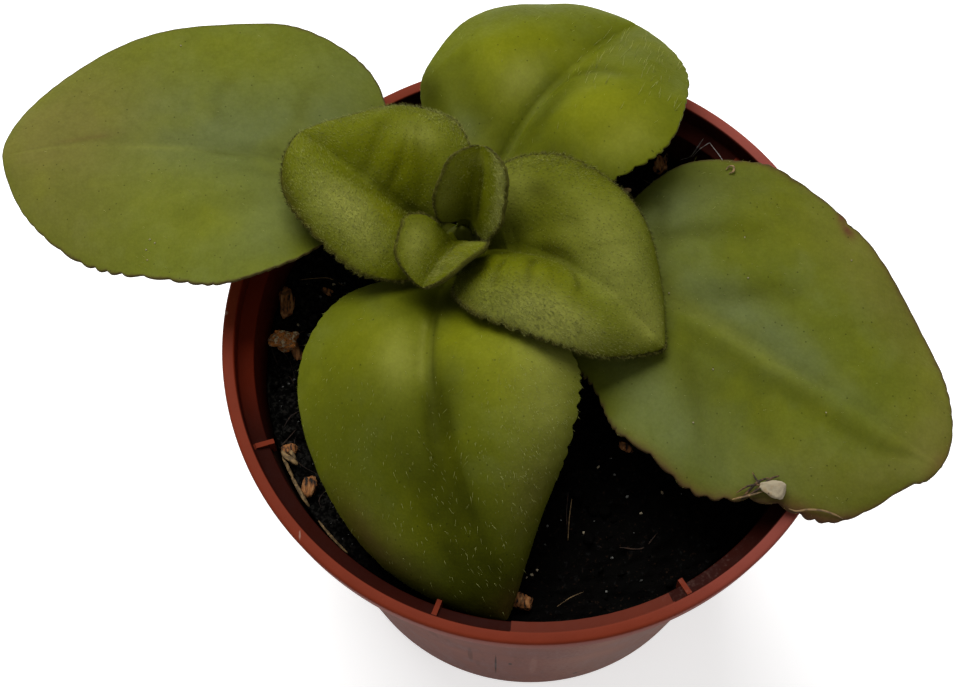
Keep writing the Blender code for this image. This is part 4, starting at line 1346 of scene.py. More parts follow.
def combine(obj, bm, operation):
    """Cuts a helper shape out of a piece, or joins it on."""
    mesh = bpy.data.meshes.new("helper")
    bm.to_mesh(mesh)
    bm.free()
    helper = fresh_object("helper", mesh)
    modifier = obj.modifiers.new("helper", "BOOLEAN")
    modifier.operation = operation
    modifier.object = helper
    bpy.context.view_layer.update()
    made = bpy.data.meshes.new_from_object(obj.evaluated_get(bpy.context.evaluated_depsgraph_get()))
    obj.modifiers.clear()
    obj.data = made
    bpy.data.objects.remove(helper, do_unlink=True)


def soil_height(points, lump):
    """The crumbly top of the mix at each (x, y)."""
    broad = BROAD_LUMPS[1] * noise_at(points, BROAD_LUMPS[0], 1)
    middle = MIDDLE_LUMPS[1] * noise_at(points, MIDDLE_LUMPS[0], 2)
    ridged = SMALL_LUMPS[1] * (1 - 2 * np.abs(noise_at(points, SMALL_LUMPS[0], 3)))
    fine = FINE_LUMPS[1] * noise_at(points, FINE_LUMPS[0], 4)
    return SOIL_TOP + lump * (broad + middle + ridged + fine)


def soil_shape(lump):
    """The plug of mix: a lumpy top, and plain sides and bottom that show through the drain holes."""
    edge = wall_radius(SOIL_TOP) - WALL - GAP
    bottom = FLOOR + GAP
    rings = []
    for radius in edge * np.linspace(0, 1, SOIL_RINGS)[1:]:
        spots = circle_points(SOIL_SEGMENTS) * radius
        rings.append(np.column_stack([spots, soil_height(spots, lump)]))
    for radius, height in (
        (edge - SIDE_DROP, SIDE_HEIGHT),
        (wall_radius(SLANT_HEIGHT) - WALL - GAP, SLANT_HEIGHT),
        (wall_radius(bottom) - WALL - SLANT_DROP, bottom),
        (BOTTOM_MIDDLE, bottom),
    ):
        rings.append(level_ring(SOIL_SEGMENTS, radius, height))
    top = soil_height(np.zeros((1, 2)), lump)[0]
    return closed_loft(np.array(rings), (0, 0, top), (0, 0, bottom))


def ball(subdivisions):
    """Points and faces of a round ball of radius 1."""
    bm = bmesh.new()
    bmesh.ops.create_icosphere(bm, subdivisions=subdivisions, radius=1)
    points = np.array([vertex.co[:] for vertex in bm.verts])
    faces = [tuple(vertex.index for vertex in face.verts) for face in bm.faces]
    bm.free()
    return points, faces


def lump_shape(place, sizes, turn, seed, subdivisions=2, roughness=0.35, boxiness=0.8):
    """One rough crumb: a ball stretched, made a little boxy, and roughened."""
    points, faces = ball(subdivisions)
    bumps = 1 + roughness * noise_at(points, 0.8, seed) + 0.5 * roughness * noise_at(points, 0.35, seed + 1)
    points = np.sign(points) * np.abs(points) ** boxiness * bumps[:, None] * np.array(sizes) / 2
    return points @ np.array(turn).T + np.array(place), faces


def turn_about_z(degrees):
    """A turn by that angle round Z."""
    return np.array(Matrix.Rotation(math.radians(degrees), 3, "Z"))


def random_turn(rng):
    """A turn by any angle round any line."""
    angle = rng.uniform(0, FULL_TURN)
    return np.array(Matrix.Rotation(angle, 3, Vector(rng.normal(size=3)).normalized()))


def random_spots(rng, count):
    """Random places on the mix; some of them lie in the open stretch at its left."""
    edge = wall_radius(SOIL_TOP) - WALL - SPOT_MARGIN
    radius = edge * np.sqrt(rng.uniform(0, 1, count))
    angle = rng.uniform(0, 2 * math.pi, count)
    left = rng.uniform(0, 1, count) < LEFT_SHARE
    radius = np.where(left, edge * rng.uniform(LEFT_INNER, 1.0, count), radius)
    angle = np.where(left, np.radians(rng.uniform(*LEFT_ANGLES, count)), angle)
    return np.stack([radius * np.cos(angle), radius * np.sin(angle)], axis=-1)


def scattered_lumps(rng, count, span, lump, subdivisions):
    """Crumbs strewn over the mix, half sunk into it; span holds the smallest and the largest size."""
    smallest, largest = span
    spots = random_spots(rng, count)
    tops = soil_height(spots, lump)
    shapes = []
    for index, (spot, top) in enumerate(zip(spots, tops)):
        long = smallest * (largest / smallest) ** (rng.uniform(0, 1) ** 1.5)
        place = (*spot, top + long * rng.uniform(-0.1, 0.25))
        sizes = long * np.array([1, rng.uniform(0.6, 1), rng.uniform(0.5, 0.9)])
        shapes.append(lump_shape(place, sizes, random_turn(rng), index % 23, subdivisions))
    return joined(shapes)


def smooth_path(points, steps):
    """A smooth curve through a few points."""
    points = np.array(points, float)
    ends = np.concatenate([[2 * points[0] - points[1]], points, [2 * points[-1] - points[-2]]])
    made = []
    for a, b, c, d in zip(ends, ends[1:], ends[2:], ends[3:]):
        square, cube = 2 * a - 5 * b + 4 * c - d, 3 * b - a - 3 * c + d
        for t in np.linspace(0, 1, steps, endpoint=False):
            made.append(0.5 * (2 * b + (c - a) * t + square * t**2 + cube * t**3))
    made.append(points[-1])
    return np.array(made)


def tube(path, radius, sides=8, flatness=1.0):
    """A thin strand along a path, thinner at both ends."""
    ahead = unit(np.gradient(path, axis=0))
    side = unit(np.cross(ahead, (0.13, 0.21, 0.97)))
    up = np.cross(side, ahead)
    share = np.linspace(0, 1, len(path))
    radii = radius * (0.25 + 0.75 * np.sin(np.pi * share) ** 0.5)
    radii *= 1 + 0.25 * noise_at(path, 0.0012, radius / MM)
    turn = circle_points(sides)
    rings = path[:, None] + radii[:, None, None] * (
        turn[:, :1] * side[:, None] + flatness * turn[:, 1:] * up[:, None]
    )
    return closed_loft(rings, path[0], path[-1])


def directions(leaf, share):
    """Forward, left and up along the midrib, at each share of its length."""
    share = np.clip(share, 0, 1)
    heading = np.radians(between(leaf.heading, share**leaf.heading_ease))
    rise = np.radians(between(leaf.rise, share**leaf.rise_ease))
    roll = np.radians(between(leaf.roll, share))[..., None]
    level = np.zeros_like(heading)
    forward = np.stack(
        [np.cos(rise) * np.cos(heading), np.cos(rise) * np.sin(heading), np.sin(rise)], axis=-1
    )
    flat_left = np.stack([-np.sin(heading), np.cos(heading), level], axis=-1)
    upright = np.cross(forward, flat_left)
    left = flat_left * np.cos(roll) + upright * np.sin(roll)
    up = upright * np.cos(roll) - flat_left * np.sin(roll)
    return forward, left, up


def midrib_points(leaf, share):
    """Points of the midrib. Below 0 it runs straight back into the stem."""
    steps = np.linspace(0, 1, MIDRIB_STEPS + 1)
    forward = directions(leaf, steps)[0]
    total = leaf.petiole + leaf.length
    path = np.zeros((MIDRIB_STEPS + 1, 3))
    path[1:] = np.cumsum((forward[1:] + forward[:-1]) / 2, axis=0) * total / MIDRIB_STEPS
    start = math.radians(leaf.heading[0])
    path += (
        STEM_X + leaf.stem_reach * math.cos(start),
        STEM_Y + leaf.stem_reach * math.sin(start),
        leaf.stem_height,
    )
    points = np.stack([np.interp(share, steps, path[:, axis]) for axis in range(3)], axis=-1)
    return points + np.minimum(share, 0)[..., None] * total * forward[0]


def outline(leaf, row, side):
    """For rows from -1 at the stem to 0 at the blade's base and 1 at its tip: how far along the midrib and
    the margin each one lies, and its half-width on that side."""
    turn = np.pi * np.clip(row, 0, 1)
    sine = np.clip(np.sin(turn), 0, 1)
    in_base = turn <= np.pi / 2
    reach = np.where(
        in_base, leaf.widest * (1 - np.cos(turn)), leaf.widest - (1 - leaf.widest) * np.cos(turn)
    )
    swell = sine ** np.where(in_base, leaf.shoulder, leaf.point)
    stalk = leaf.petiole * (1 + np.minimum(row, 0))
    margin_run = stalk + leaf.length * reach
    midrib_run = stalk + leaf.length * reach * (1 - ROW_SLANT * sine)
    full = np.where(side > 0, *leaf.half_widths)
    for bulge_side, middle, spread, height in leaf.bulges:
        here = np.exp(-(((row - middle) / spread) ** 2)) * height
        full = full + np.where(side * bulge_side > 0, here, 0)
    narrow = leaf.petiole_half_width * (1 - np.clip(row, 0, 1))
    half = np.where(row >= 1, 0, narrow + (full - narrow) * np.where(row > 0, swell, 0))
    return midrib_run, margin_run, half


def leaf_places(leaf, row, across):
    """Points of the leaf's smooth upper face, each one's share of the blade, and the half-width there."""
    out = np.abs(across)
    midrib_run, margin_run, half = outline(leaf, row, across)
    run = midrib_run + np.minimum(out, 1) * (margin_run - midrib_run)
    share = run / (leaf.petiole + leaf.length)
    along = np.clip((run - leaf.petiole) / leaf.length, 0, 1)
    fold = np.radians(between(leaf.fold, along))
    droop = np.radians(between(leaf.droop, along))
    droop = np.where(np.abs(droop) < LEAST_DROOP, LEAST_DROOP, droop)
    lift = half * (np.cos(fold - droop * out) - np.cos(fold)) / droop
    sideways = half * (np.sin(fold) - np.sin(fold - droop * out)) / droop
    crest = np.sin(np.pi * along)
    wave, waves = leaf.ripple
    lift = lift + leaf.dome * np.sin(np.pi * np.minimum(out, 1)) * crest
    lift = lift + wave * out**2 * crest * np.sin(2 * np.pi * waves * along + across)
    _, left, up = directions(leaf, share)
    points = midrib_points(leaf, share)
    points = points + (np.sign(across) * sideways)[..., None] * left + lift[..., None] * up
    return points, along, half


def leaf_spot(leaf, row, across, height):
    """A place above a leaf: its point, and the ways forward, aside and up there."""
    rows = np.array([row, row + 0.01, row])
    columns = np.array([across, across, across + 0.01])
    spot, ahead, aside = leaf_places(leaf, rows, columns)[0]
    forward = unit(ahead - spot)
    up = unit(np.cross(forward, aside - spot))
    return spot + up * height, np.array([forward, np.cross(up, forward), up]).T


def leaf_named(name):
    """The leaf of that name."""
    return next(leaf for leaf in LEAVES if leaf.name == name)


def tooth_shift(leaf, row, across, half):
    """Moves the outermost stretch of the blade in and out, for uneven teeth that point to the tip."""
    out = np.abs(across)
    left = across > 0
    wander = TOOTH_WANDER * np.sin(row * TOOTH_WANDER_RATE + np.where(left, 0.0, 2.0))
    phase = row * leaf.teeth + wander + np.where(left, 0.0, 0.4)
    tooth = np.floor(phase)
    uneven = 1 + TOOTH_SCATTER * np.sin(tooth * TOOTH_SCATTER_RATE + np.where(left, 0, 4.1))
    deep = np.where(left, *leaf.tooth) * uneven * np.clip(8 * row * (1 - row), 0, 1)
    part = (phase - tooth) ** TOOTH_SKEW
    lobe = np.sin(np.pi * part) ** TOOTH_BLUNTNESS - TOOTH_INWARD
    shift = deep * lobe + MARGIN_WAVE * np.sin(row * MARGIN_WAVE_RATE + across * 3)
    for side, middle, spread, depth in leaf.notches:
        shift = shift - np.where(across * side > 0, depth * np.exp(-(((row - middle) / spread) ** 2)), 0)
    near_margin = np.clip(1 - (1 - out) * half / TOOTH_REACH, 0, 1) ** 2
    return across * (1 + shift * near_margin / np.maximum(half, leaf.petiole_half_width))


def vein_pattern(leaf, along, across, half):
    """How near each place is to a vein, and how far the tissue sinks there."""
    out = np.abs(across)
    phase = (along - leaf.vein_sweep * out) * leaf.veins + np.where(across > 0, 0.1, 0.45)
    ridge = np.abs(np.sin(np.pi * phase))
    fade = np.clip(1 - out**2, 0, 1) * np.clip(along * 8, 0, 1) * np.clip((1 - along) * 4, 0, 1)
    rib = np.exp(-((out * half / MIDRIB_WIDTH) ** 2)) * np.clip(1.15 - along, 0, 1) * (along > 0)
    side_vein = np.clip(1 - ridge / SIDE_VEIN_WIDTH, 0, 1) * fade
    sink = leaf.pillow * (1 - ridge) * fade + leaf.groove * rib
    return np.maximum(0.8 * side_vein, rib), sink


def near_crease(leaf, crease, along, across):
    """1 on a crease's line, falling off to either side of it and towards both of its ends."""
    scale = np.array([leaf.length, sum(leaf.half_widths) / 2])
    spots = np.stack([along, across], axis=-1) * scale
    corners = smooth_path(crease.path, 4) * scale
    nearest = np.full(along.shape, np.inf)
    progress = np.zeros(along.shape)
    for index, (start, end) in enumerate(zip(corners, corners[1:])):
        way = end - start
        share = np.clip((spots - start) @ way / (way @ way), 0, 1)
        away = np.linalg.norm(spots - start - share[..., None] * way, axis=-1)
        progress = np.where(away < nearest, (index + share) / (len(corners) - 1), progress)
        nearest = np.minimum(nearest, away)
    fade = np.clip(5 * np.minimum(progress, 1 - progress) + 0.1, 0, 1)
    return fade * np.exp(-((nearest / crease.width) ** 2))


def near_spot(spot, along, across):
    """1 in the middle of a patch, swell or tuft, falling off around it."""
    reach = ((along - spot.along) / spot.long) ** 2 + ((across - spot.across) / spot.wide) ** 2
    return np.exp(-reach)


def bending(leaf, along, across):
    """How far the whole blade is lifted by its swells and sunk by its creases."""
    lift = sum(swell.height * near_spot(swell, along, across) for swell in leaf.swells)
    sink = sum(crease.depth * near_crease(leaf, crease, along, across) for crease in leaf.creases)
    return lift - sink


def tint_of(leaf, tint, along, across):
    """How strong one tint is at each place of a leaf."""
    strength = np.zeros_like(along)
    for patch in leaf.patches:
        if patch.tint == tint:
            strength += patch.amount * near_spot(patch, along, across)
    for crease in leaf.creases:
        if crease.tint == tint:
            strength += crease.amount * near_crease(leaf, crease, along, across)
    return np.clip(strength, 0, 1)


def leaf_thickness(leaf, row, across):
    """Thick under the midrib and the stalk, thin at the margins and the tip."""
    ridge = RIDGE_THICKNESS - (RIDGE_THICKNESS - leaf.edge) * np.clip(row, 0, 1) ** RIDGE_FADE
    return leaf.edge + (ridge - leaf.edge) * (1 - np.minimum(np.abs(across), 1)) ** 2


def normals_of(grid):
    """Upward normals of a grid of points."""
    return unit(np.cross(np.gradient(grid, axis=0), -np.gradient(grid, axis=1)))


def leaf_grid(leaf):
    """The upper face as a grid: rows from the root in the stem to just short of the tip, columns from the
    left margin to the right one. Gives points, normals and what each place is like."""
    stalk_rows = max(4, round((leaf.petiole + ROOT_DEPTH) / STALK_STEP))
    root = ROOT_DEPTH / leaf.petiole
    rows = np.concatenate([
        np.linspace(-1 - root, 0, stalk_rows, endpoint=False), np.linspace(0, 1, leaf.rows + 1)[:-1]
    ])
    even = np.linspace(1, -1, leaf.columns + 1)
    across = even + COLUMN_CROWDING * np.sin(np.pi * even) / np.pi
    row, across = np.meshgrid(rows, across, indexing="ij")
    _, _, half = leaf_places(leaf, row, across)
    toothed = tooth_shift(leaf, row, across, half)
    points, along, half = leaf_places(leaf, row, toothed)
    on_blade = np.clip(row * 12, 0, 1)
    points = points + normals_of(points) * (bending(leaf, along, across) * on_blade)[..., None]
    vein, sink = vein_pattern(leaf, along, across, half)
    flat = np.stack([along * leaf.length, across * half], axis=-1)
    seed = LEAVES.index(leaf)
    broad, middle, fine = SWELLING_SIZES
    pebbles = noise_at(flat, middle, seed) + 0.5 * noise_at(flat, fine, seed + 9)
    pebbles += 1.8 * noise_at(flat, broad, seed + 5)
    raised = (leaf.pebble * pebbles - sink) * on_blade
    rim = np.where(row > 0, np.exp(-(1 - np.abs(across)) * half / leaf.rim), 0)
    places = {
        "row": row, "across": across, "along": along, "half": half,
        "vein": vein, "raised": raised, "flat": flat, "rim": rim,
    }
    return points, normals_of(points), places


def edge_rounding(leaf, row, across, half):
    """1 over most of the blade, falling to 0 at the margin as a quarter circle; all of the stalk is round."""
    blend = np.clip(row * 10, 0, 1)
    reach = leaf.petiole_half_width + (EDGE_ROUND_SHARE * leaf.edge - leaf.petiole_half_width) * blend
    near = np.clip(1 - (1 - np.abs(across)) * half / np.minimum(reach, half), 0, 1)
    return np.sqrt(np.clip(1 - near**2, 0, 1))


def leaf_shape(leaf, grid):
    """The leaf as one closed surface, and the numbers that its finish reads."""
    points, normals, places = grid
    row, across = places["row"], places["across"]
    thick = leaf_thickness(leaf, row, across)
    whole = edge_rounding(leaf, row, across, places["half"])
    dip = thick / 2 * (1 - whole)
    upper = points + normals * (places["raised"] - dip)[..., None]
    lower = points - normals * (thick - dip - 0.35 * places["raised"])[..., None]
    rings = np.concatenate([upper, lower[:, -2:0:-1]], axis=1)
    tip = midrib_points(leaf, np.array([1.0]))[0] - normals[-1, leaf.columns // 2] * leaf.edge / 2
    root = rings[0].mean(axis=0)
    shape = closed_loft(rings, root, tip)

    def for_each_point(numbers, at_tip=0.0):
        around = np.concatenate([numbers, numbers[:, -2:0:-1]], axis=1).reshape(-1)
        return np.concatenate([around, [0.0, at_tip]])

    under = np.concatenate([np.zeros_like(upper[..., 0]), np.ones_like(lower[:, -2:0:-1, 0])], axis=1)
    along = for_each_point(places["flat"][..., 0], leaf.length)
    aside = for_each_point(places["flat"][..., 1])
    values = {
        "leaf_place": np.column_stack([along, aside, np.full(len(along), 0.1 * LEAVES.index(leaf))]),
        "rim": for_each_point(places["rim"], 1.0),
        "vein": for_each_point(places["vein"]),
        "under": np.concatenate([under.reshape(-1), [0.0, 0.0]]),
    }
    for tint in TINTS:
        values[tint] = for_each_point(tint_of(leaf, tint, places["along"], across))
    return shape, values


def hair_shape(roots, ways, bends, lengths, thickness):
    """Closed three-sided hairs: each starts just under its root, and long ones bend on their way."""
    ways = unit(ways)
    side = unit(np.cross(ways, bends + (0.31, 0.17, 0.53)))
    up = np.cross(ways, side)
    turn = np.array([0, 2, 4]) * math.pi / 3
    around = np.cos(turn)[:, None] * side[:, None] + np.sin(turn)[:, None] * up[:, None]
    length = lengths[:, None]
    base = (roots - ways * thickness)[:, None] + around * thickness / 2
    middle = roots + ways * length * HAIR_MIDDLE[0] + bends * length * HAIR_MIDDLE[1]
    waist = middle[:, None] + around * thickness * HAIR_TAPER
    tip = roots + ways * length * HAIR_TIP[0] + bends * length * HAIR_TIP[1]
    if lengths.mean() < BENT_FROM:
        points, faces = np.concatenate([base, tip[:, None]], axis=1), SPIKE_FACES
    else:
        points, faces = np.concatenate([base, waist, tip[:, None]], axis=1), BENT_FACES
    start = np.arange(len(roots))[:, None, None] * points.shape[1]
    return points.reshape(-1, 3), (faces[None] + start).reshape(-1, 3).tolist()


def grid_spots(grid, cells, rng):
    """A random spot in each of these cells of the grid: its point, its normal and the way to the tip."""
    points, normals, places = grid
    row, column = cells
    a, b = rng.uniform(0, 1, (2, len(row)))
    top = points + normals * places["raised"][..., None]

    def blended(values):
        near = values[row, column] * (1 - a)[:, None] + values[row + 1, column] * a[:, None]
        far = values[row, column + 1] * (1 - a)[:, None] + values[row + 1, column + 1] * a[:, None]
        return near * (1 - b)[:, None] + far * b[:, None]

    return blended(top), unit(blended(normals)), unit(top[row + 1, column] - top[row, column])


def tuft_shape(tuft, grid, rng):
    """The hairs of one tuft: they lean towards the leaf's tip."""
    points, _, places = grid
    sides = np.cross(points[1:, :-1] - points[:-1, :-1], points[:-1, 1:] - points[:-1, :-1])
    here = near_spot(tuft, places["along"][:-1, :-1], places["across"][:-1, :-1])
    weight = np.linalg.norm(sides, axis=-1) * here * (places["row"][:-1, :-1] > 0)
    cells = rng.choice(weight.size, size=tuft.count, p=(weight / weight.sum()).ravel())
    spots, normals, ahead = grid_spots(grid, np.unravel_index(cells, weight.shape), rng)
    ways = 0.7 * normals + tuft.lean * ahead + rng.normal(0, 0.2, spots.shape)
    bends = unit(ahead + rng.normal(0, 0.5, spots.shape))
    lengths = tuft.length * rng.uniform(0.45, 1.4, len(spots))
    return hair_shape(spots, ways, bends, lengths, tuft.thick)


def fringe_shape(leaf, grid, rng, thickness):
    """Hairs that stand out from both margins."""
    points, _, places = grid
    on_blade = np.flatnonzero(places["row"][:-1, 0] > FRINGE_FROM_ROW)
    row = rng.choice(on_blade, size=leaf.fringe)
    left = rng.uniform(0, 1, len(row)) < 0.5
    depth = rng.integers(0, FRINGE_COLUMNS, len(row))
    column = np.where(left, depth, leaf.columns - 1 - depth)
    spots, up, ahead = grid_spots(grid, (row, column), rng)
    leftward = points[row, 0] - points[row, FRINGE_AIM]
    rightward = points[row, -1] - points[row, -1 - FRINGE_AIM]
    outward = unit(np.where(left[:, None], leftward, rightward))
    spots = spots - up * leaf.edge * rng.uniform(0.0, 0.6, len(row))[:, None]
    ways = outward + 0.4 * up + 0.35 * ahead + rng.normal(0, 0.4, spots.shape)
    bends = unit(up + 0.6 * ahead + rng.normal(0, 0.5, spots.shape))
    lengths = leaf.fringe_length * rng.uniform(0.4, 1.5, len(row))
    return hair_shape(spots, ways, bends, lengths, thickness)


def stem_shape():
    """The knobbly stem: a turned outline with the old leaf scars as low bumps."""
    heights = np.linspace(STEM_STEPS[0][1], STEM_STEPS[-1][1], STEM_RINGS)
    shares = np.interp(heights, [step[1] for step in STEM_STEPS], [step[0] for step in STEM_STEPS])
    rings = []
    for height, part in zip(heights, shares):
        spots = level_ring(STEM_SEGMENTS, STEM_RADIUS * part, height)
        swell = 1 + 0.06 * noise_at(spots, 0.0030, 2) + 0.02 * noise_at(spots, 0.0009, 3)
        spots[:, :2] = spots[:, :2] * swell[:, None] + (STEM_X, STEM_Y)
        rings.append(spots)
    foot = (STEM_X, STEM_Y, heights[0])
    top = (STEM_X, STEM_Y, heights[-1] + GAP)
    return closed_loft(np.array(rings), foot, top)


def make_grains(mix):
    """The bark chip and the nugget on the mix, and the perlite grain on the right-hand leaf."""
    low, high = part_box("bark_chip")
    chip = lump_shape((low + high) / 2, high - low, np.eye(3), 3, FINE_BALL, roughness=0.25, boxiness=0.7)
    add_piece("fine_bark_chip", chip, bark_finish(mix), "bark", ["bark_chip"])
    low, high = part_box("clay_nugget")
    nugget = lump_shape((low + high) / 2, high - low, np.eye(3), 7, FINE_BALL, roughness=0.45, boxiness=0.85)
    add_piece("fine_clay_nugget", nugget, clay_finish(mix), "clay", ["clay_nugget"])
    spot, turn = leaf_spot(leaf_named(PERLITE_LEAF), *PERLITE_SPOT, GAP + PERLITE_SIZE[2] / 2)
    block = lump_shape((0, 0, 0), PERLITE_SIZE, np.eye(3), 11, FINE_BALL, roughness=0.22, boxiness=0.72)
    points, faces = block
    points[:, 1:] *= 1 + PERLITE_TAPER * points[:, :1] / PERLITE_SIZE[0]
    grain = points @ turn.T + spot
    add_piece("fine_perlite_grain", (grain, faces), perlite_finish(mix), "perlite", ["perlite_grain"])


def make_bits(mix):
    """Small bark bits, husks and mineral glints on the mix, and pale specks on the leaves, partly grains and
    partly painted highlights of glinting hair tips.
    """
    materials = {
        "bark": bpy.data.materials["bark"],
        "husk": strand_finish("dry_husk", mix.husk, 0.35),
        "glint": bpy.data.materials["perlite"],
    }
    slots = {"bark": "bark", "husk": "bark", "glint": "perlite"}
    for finish, material in materials.items():
        shapes = []
        for index, bit in enumerate(BITS):
            if bit.finish == finish:
                sizes = np.array(bit.sizes) * MM
                spot = held_inside(np.array([[bit.x, bit.y]]) * MM, SOIL_TOP, sizes[:2].max() / 2 + GAP)
                place = (*spot[0], soil_height(spot, mix.lump)[0] + sizes[2] * 0.35)
                turn = turn_about_z(bit.turn)
                rough = 0.2 if finish == "husk" else 0.35
                shapes.append(lump_shape(place, sizes, turn, index, BIT_BALL, rough, boxiness=0.75))
        if finish == "glint":
            # The pale specks on the leaves are partly grains and partly painted highlights of glinting hair
            # tips.
            for index, (name, row, across) in enumerate(SPECKS):
                spot, turn = leaf_spot(leaf_named(name), row, across, SPECK_SIZE * 0.3)
                shapes.append(lump_shape(spot, [SPECK_SIZE] * 3, turn, index, 2))
        add_piece(finish + "_bits", joined(shapes), material, slots[finish])


def strand_paths(mix):
    """Each strand with its course in metres, over the mix or over the right-hand leaf."""
    for strand in STRANDS:
        course = np.array(strand.course) * MM
        heights = course[:, 2] + SOIL_TOP
        course[:, :2] = held_inside(course[:, :2], heights, strand.thick * MM)
        course[:, 2] += soil_height(course[:, :2], mix.lump)
        yield strand, course
    leaf = leaf_named(PERLITE_LEAF)
    for strand in LEAF_STRANDS:
        spots = [leaf_spot(leaf, row, across, high * MM)[0] for row, across, high in strand.course]
        yield strand, np.array(spots)


def random_roots(rng, count, lump):
    """Short dry roots that lie every way on the mix."""
    for spot, angle in zip(random_spots(rng, count), rng.uniform(0, 2 * math.pi, count)):
        length = rng.uniform(*ROOT_LENGTHS)
        way = np.array([math.cos(angle), math.sin(angle)])
        side = np.array([-way[1], way[0]]) * length * rng.uniform(-0.25, 0.25)
        flat = np.array([spot, spot + way * length / 2 + side, spot + way * length])
        flat = held_inside(flat, SOIL_TOP, ROOT_MARGIN)
        yield np.column_stack([flat, soil_height(flat, lump) + rng.uniform(*ROOT_LIFTS, 3)])


def make_strands(mix):
    """Husks, straws, roots and a few threads of web."""
    made = {"husk": [], "fibre": [], "root": [], "twig": [], "web": []}
    for strand, course in strand_paths(mix):
        shape = tube(smooth_path(course, 8), strand.thick * MM / 2, flatness=strand.flat)
        made[strand.finish].append(shape)
    rng = np.random.default_rng(ROOT_SEED)
    for course in random_roots(rng, ROOTS, mix.lump):
        made["root"].append(tube(smooth_path(course, 5), rng.uniform(*ROOT_RADII), sides=5))
    finishes = {
        "husk": bpy.data.materials["dry_husk"],
        "fibre": strand_finish("pale_fibre", [part * 0.7 for part in mix.husk], 0.5),
        "root": strand_finish("dry_root", mix.root, 0.3),
        "twig": strand_finish("dry_twig", mix.twig, 0.15),
        "web": strand_finish("web_thread", mix.web, 0.6),
    }
    for name, shapes in made.items():
        add_piece(name + "_strands", joined(shapes), finishes[name], "bark")


def make_camera():
    """The photograph's view."""
    back = Vector((0, -math.cos(CAMERA_ELEVATION), math.sin(CAMERA_ELEVATION)))
    level = Vector((1, 0, 0))
    upright = back.cross(level)
    right = level * math.cos(CAMERA_ROLL) + upright * math.sin(CAMERA_ROLL)
    up = upright * math.cos(CAMERA_ROLL) - level * math.sin(CAMERA_ROLL)
    data = bpy.data.cameras.new("camera")
    data.sensor_width = CAMERA_SENSOR
    data.lens = CAMERA_LENS
    data.clip_start, data.clip_end = CAMERA_CLIP
    camera = fresh_object("camera", data)
    turn = Matrix((right, up, back)).transposed().to_4x4()
    camera.matrix_world = Matrix.Translation(CAMERA_TARGET + back * CAMERA_DISTANCE) @ turn
    bpy.context.scene.camera = camera


def make_floor(stage):
    """A wide plain floor."""
    bm = bmesh.new()
    bmesh.ops.create_grid(bm, x_segments=FLOOR_CELLS, y_segments=FLOOR_CELLS, size=FLOOR_HALF)
    mesh = bpy.data.meshes.new("floor")
    bm.to_mesh(mesh)
    bm.free()
    mesh.materials.append(floor_finish(stage))
    fresh_object("floor", mesh)


def make_light(stage):
    """An even white sky and one large soft lamp above and behind the plant."""
    world = bpy.data.worlds.new("sky")
    world.use_nodes = True
    background = world.node_tree.nodes["Background"]
    background.inputs["Color"].default_value = (1, 1, 1, 1)
    background.inputs["Strength"].default_value = stage.sky
    bpy.context.scene.world = world
    data = bpy.data.lights.new("soft_lamp", "AREA")
    data.energy = stage.lamp
    data.size = stage.lamp_size
    lamp = fresh_object("soft_lamp", data)
    lamp.location = LAMP_PLACE
    lamp.rotation_euler = (LAMP_AIM - lamp.location).to_track_quat("-Z", "Y").to_euler()


class PRIMULINA_OT_pot(bpy.types.Operator):
    """Make the moulded pot with its lip, stacking ribs and drain holes"""

    bl_idname = "primulina.pot"
    bl_label = "Pot"

    def execute(self, context):
        material = pot_finish(context.scene.primulina_pot)
        pot = add_piece("moulded_pot", pot_shape(), material, "terracotta_plastic", ["pot"])
        combine(pot, drain_holes(), "DIFFERENCE")
        combine(pot, ribs_and_pad(), "UNION")
        pot.data.set_sharp_from_angle(angle=SHARP_ANGLE)
        return {"FINISHED"}


class PRIMULINA_OT_mix(bpy.types.Operator):
    """Make the potting mix and the loose crumbs on it"""

    bl_idname = "primulina.mix"
    bl_label = "Potting mix"

    def execute(self, context):
        mix = context.scene.primulina_mix
        peat = peat_finish(mix)
        add_piece("potting_mix", soil_shape(mix.lump), peat, "peat", ["soil"])
        rng = np.random.default_rng(MIX_SEED)
        crumbs = scattered_lumps(rng, mix.crumbs, CRUMB_SIZES, mix.lump, 2)
        add_piece("peat_crumbs", crumbs, peat, "peat")
        grit = scattered_lumps(rng, 2 * mix.crumbs, GRIT_SIZES, mix.lump, 1)
        add_piece("peat_grit", grit, peat, "peat")
        grey = scattered_lumps(rng, mix.crumbs, GREY_SIZES, mix.lump, 1)
        add_piece("grey_grit", grey, strand_finish("grey_grit", mix.grit, 0.2), "peat")
        return {"FINISHED"}


class PRIMULINA_OT_grains(bpy.types.Operator):
    """Make the bark chip, the clay nugget, the perlite grain and the small bits"""

    bl_idname = "primulina.grains"
    bl_label = "Grains and bits"

    def execute(self, context):
        mix = context.scene.primulina_mix
        make_grains(mix)
        make_bits(mix)
        return {"FINISHED"}


class PRIMULINA_OT_strands(bpy.types.Operator):
    """Make the husks, straws, roots and threads"""

    bl_idname = "primulina.strands"
    bl_label = "Strands"

    def execute(self, context):
        make_strands(context.scene.primulina_mix)
        return {"FINISHED"}


class PRIMULINA_OT_stem(bpy.types.Operator):
    """Make the short stem that carries the leaves"""

    bl_idname = "primulina.stem"
    bl_label = "Stem"

    def execute(self, context):
        material = stalk_finish(context.scene.primulina_old)
        add_piece("grown_stem", stem_shape(), material, "stem_green", ["stem"])
        return {"FINISHED"}


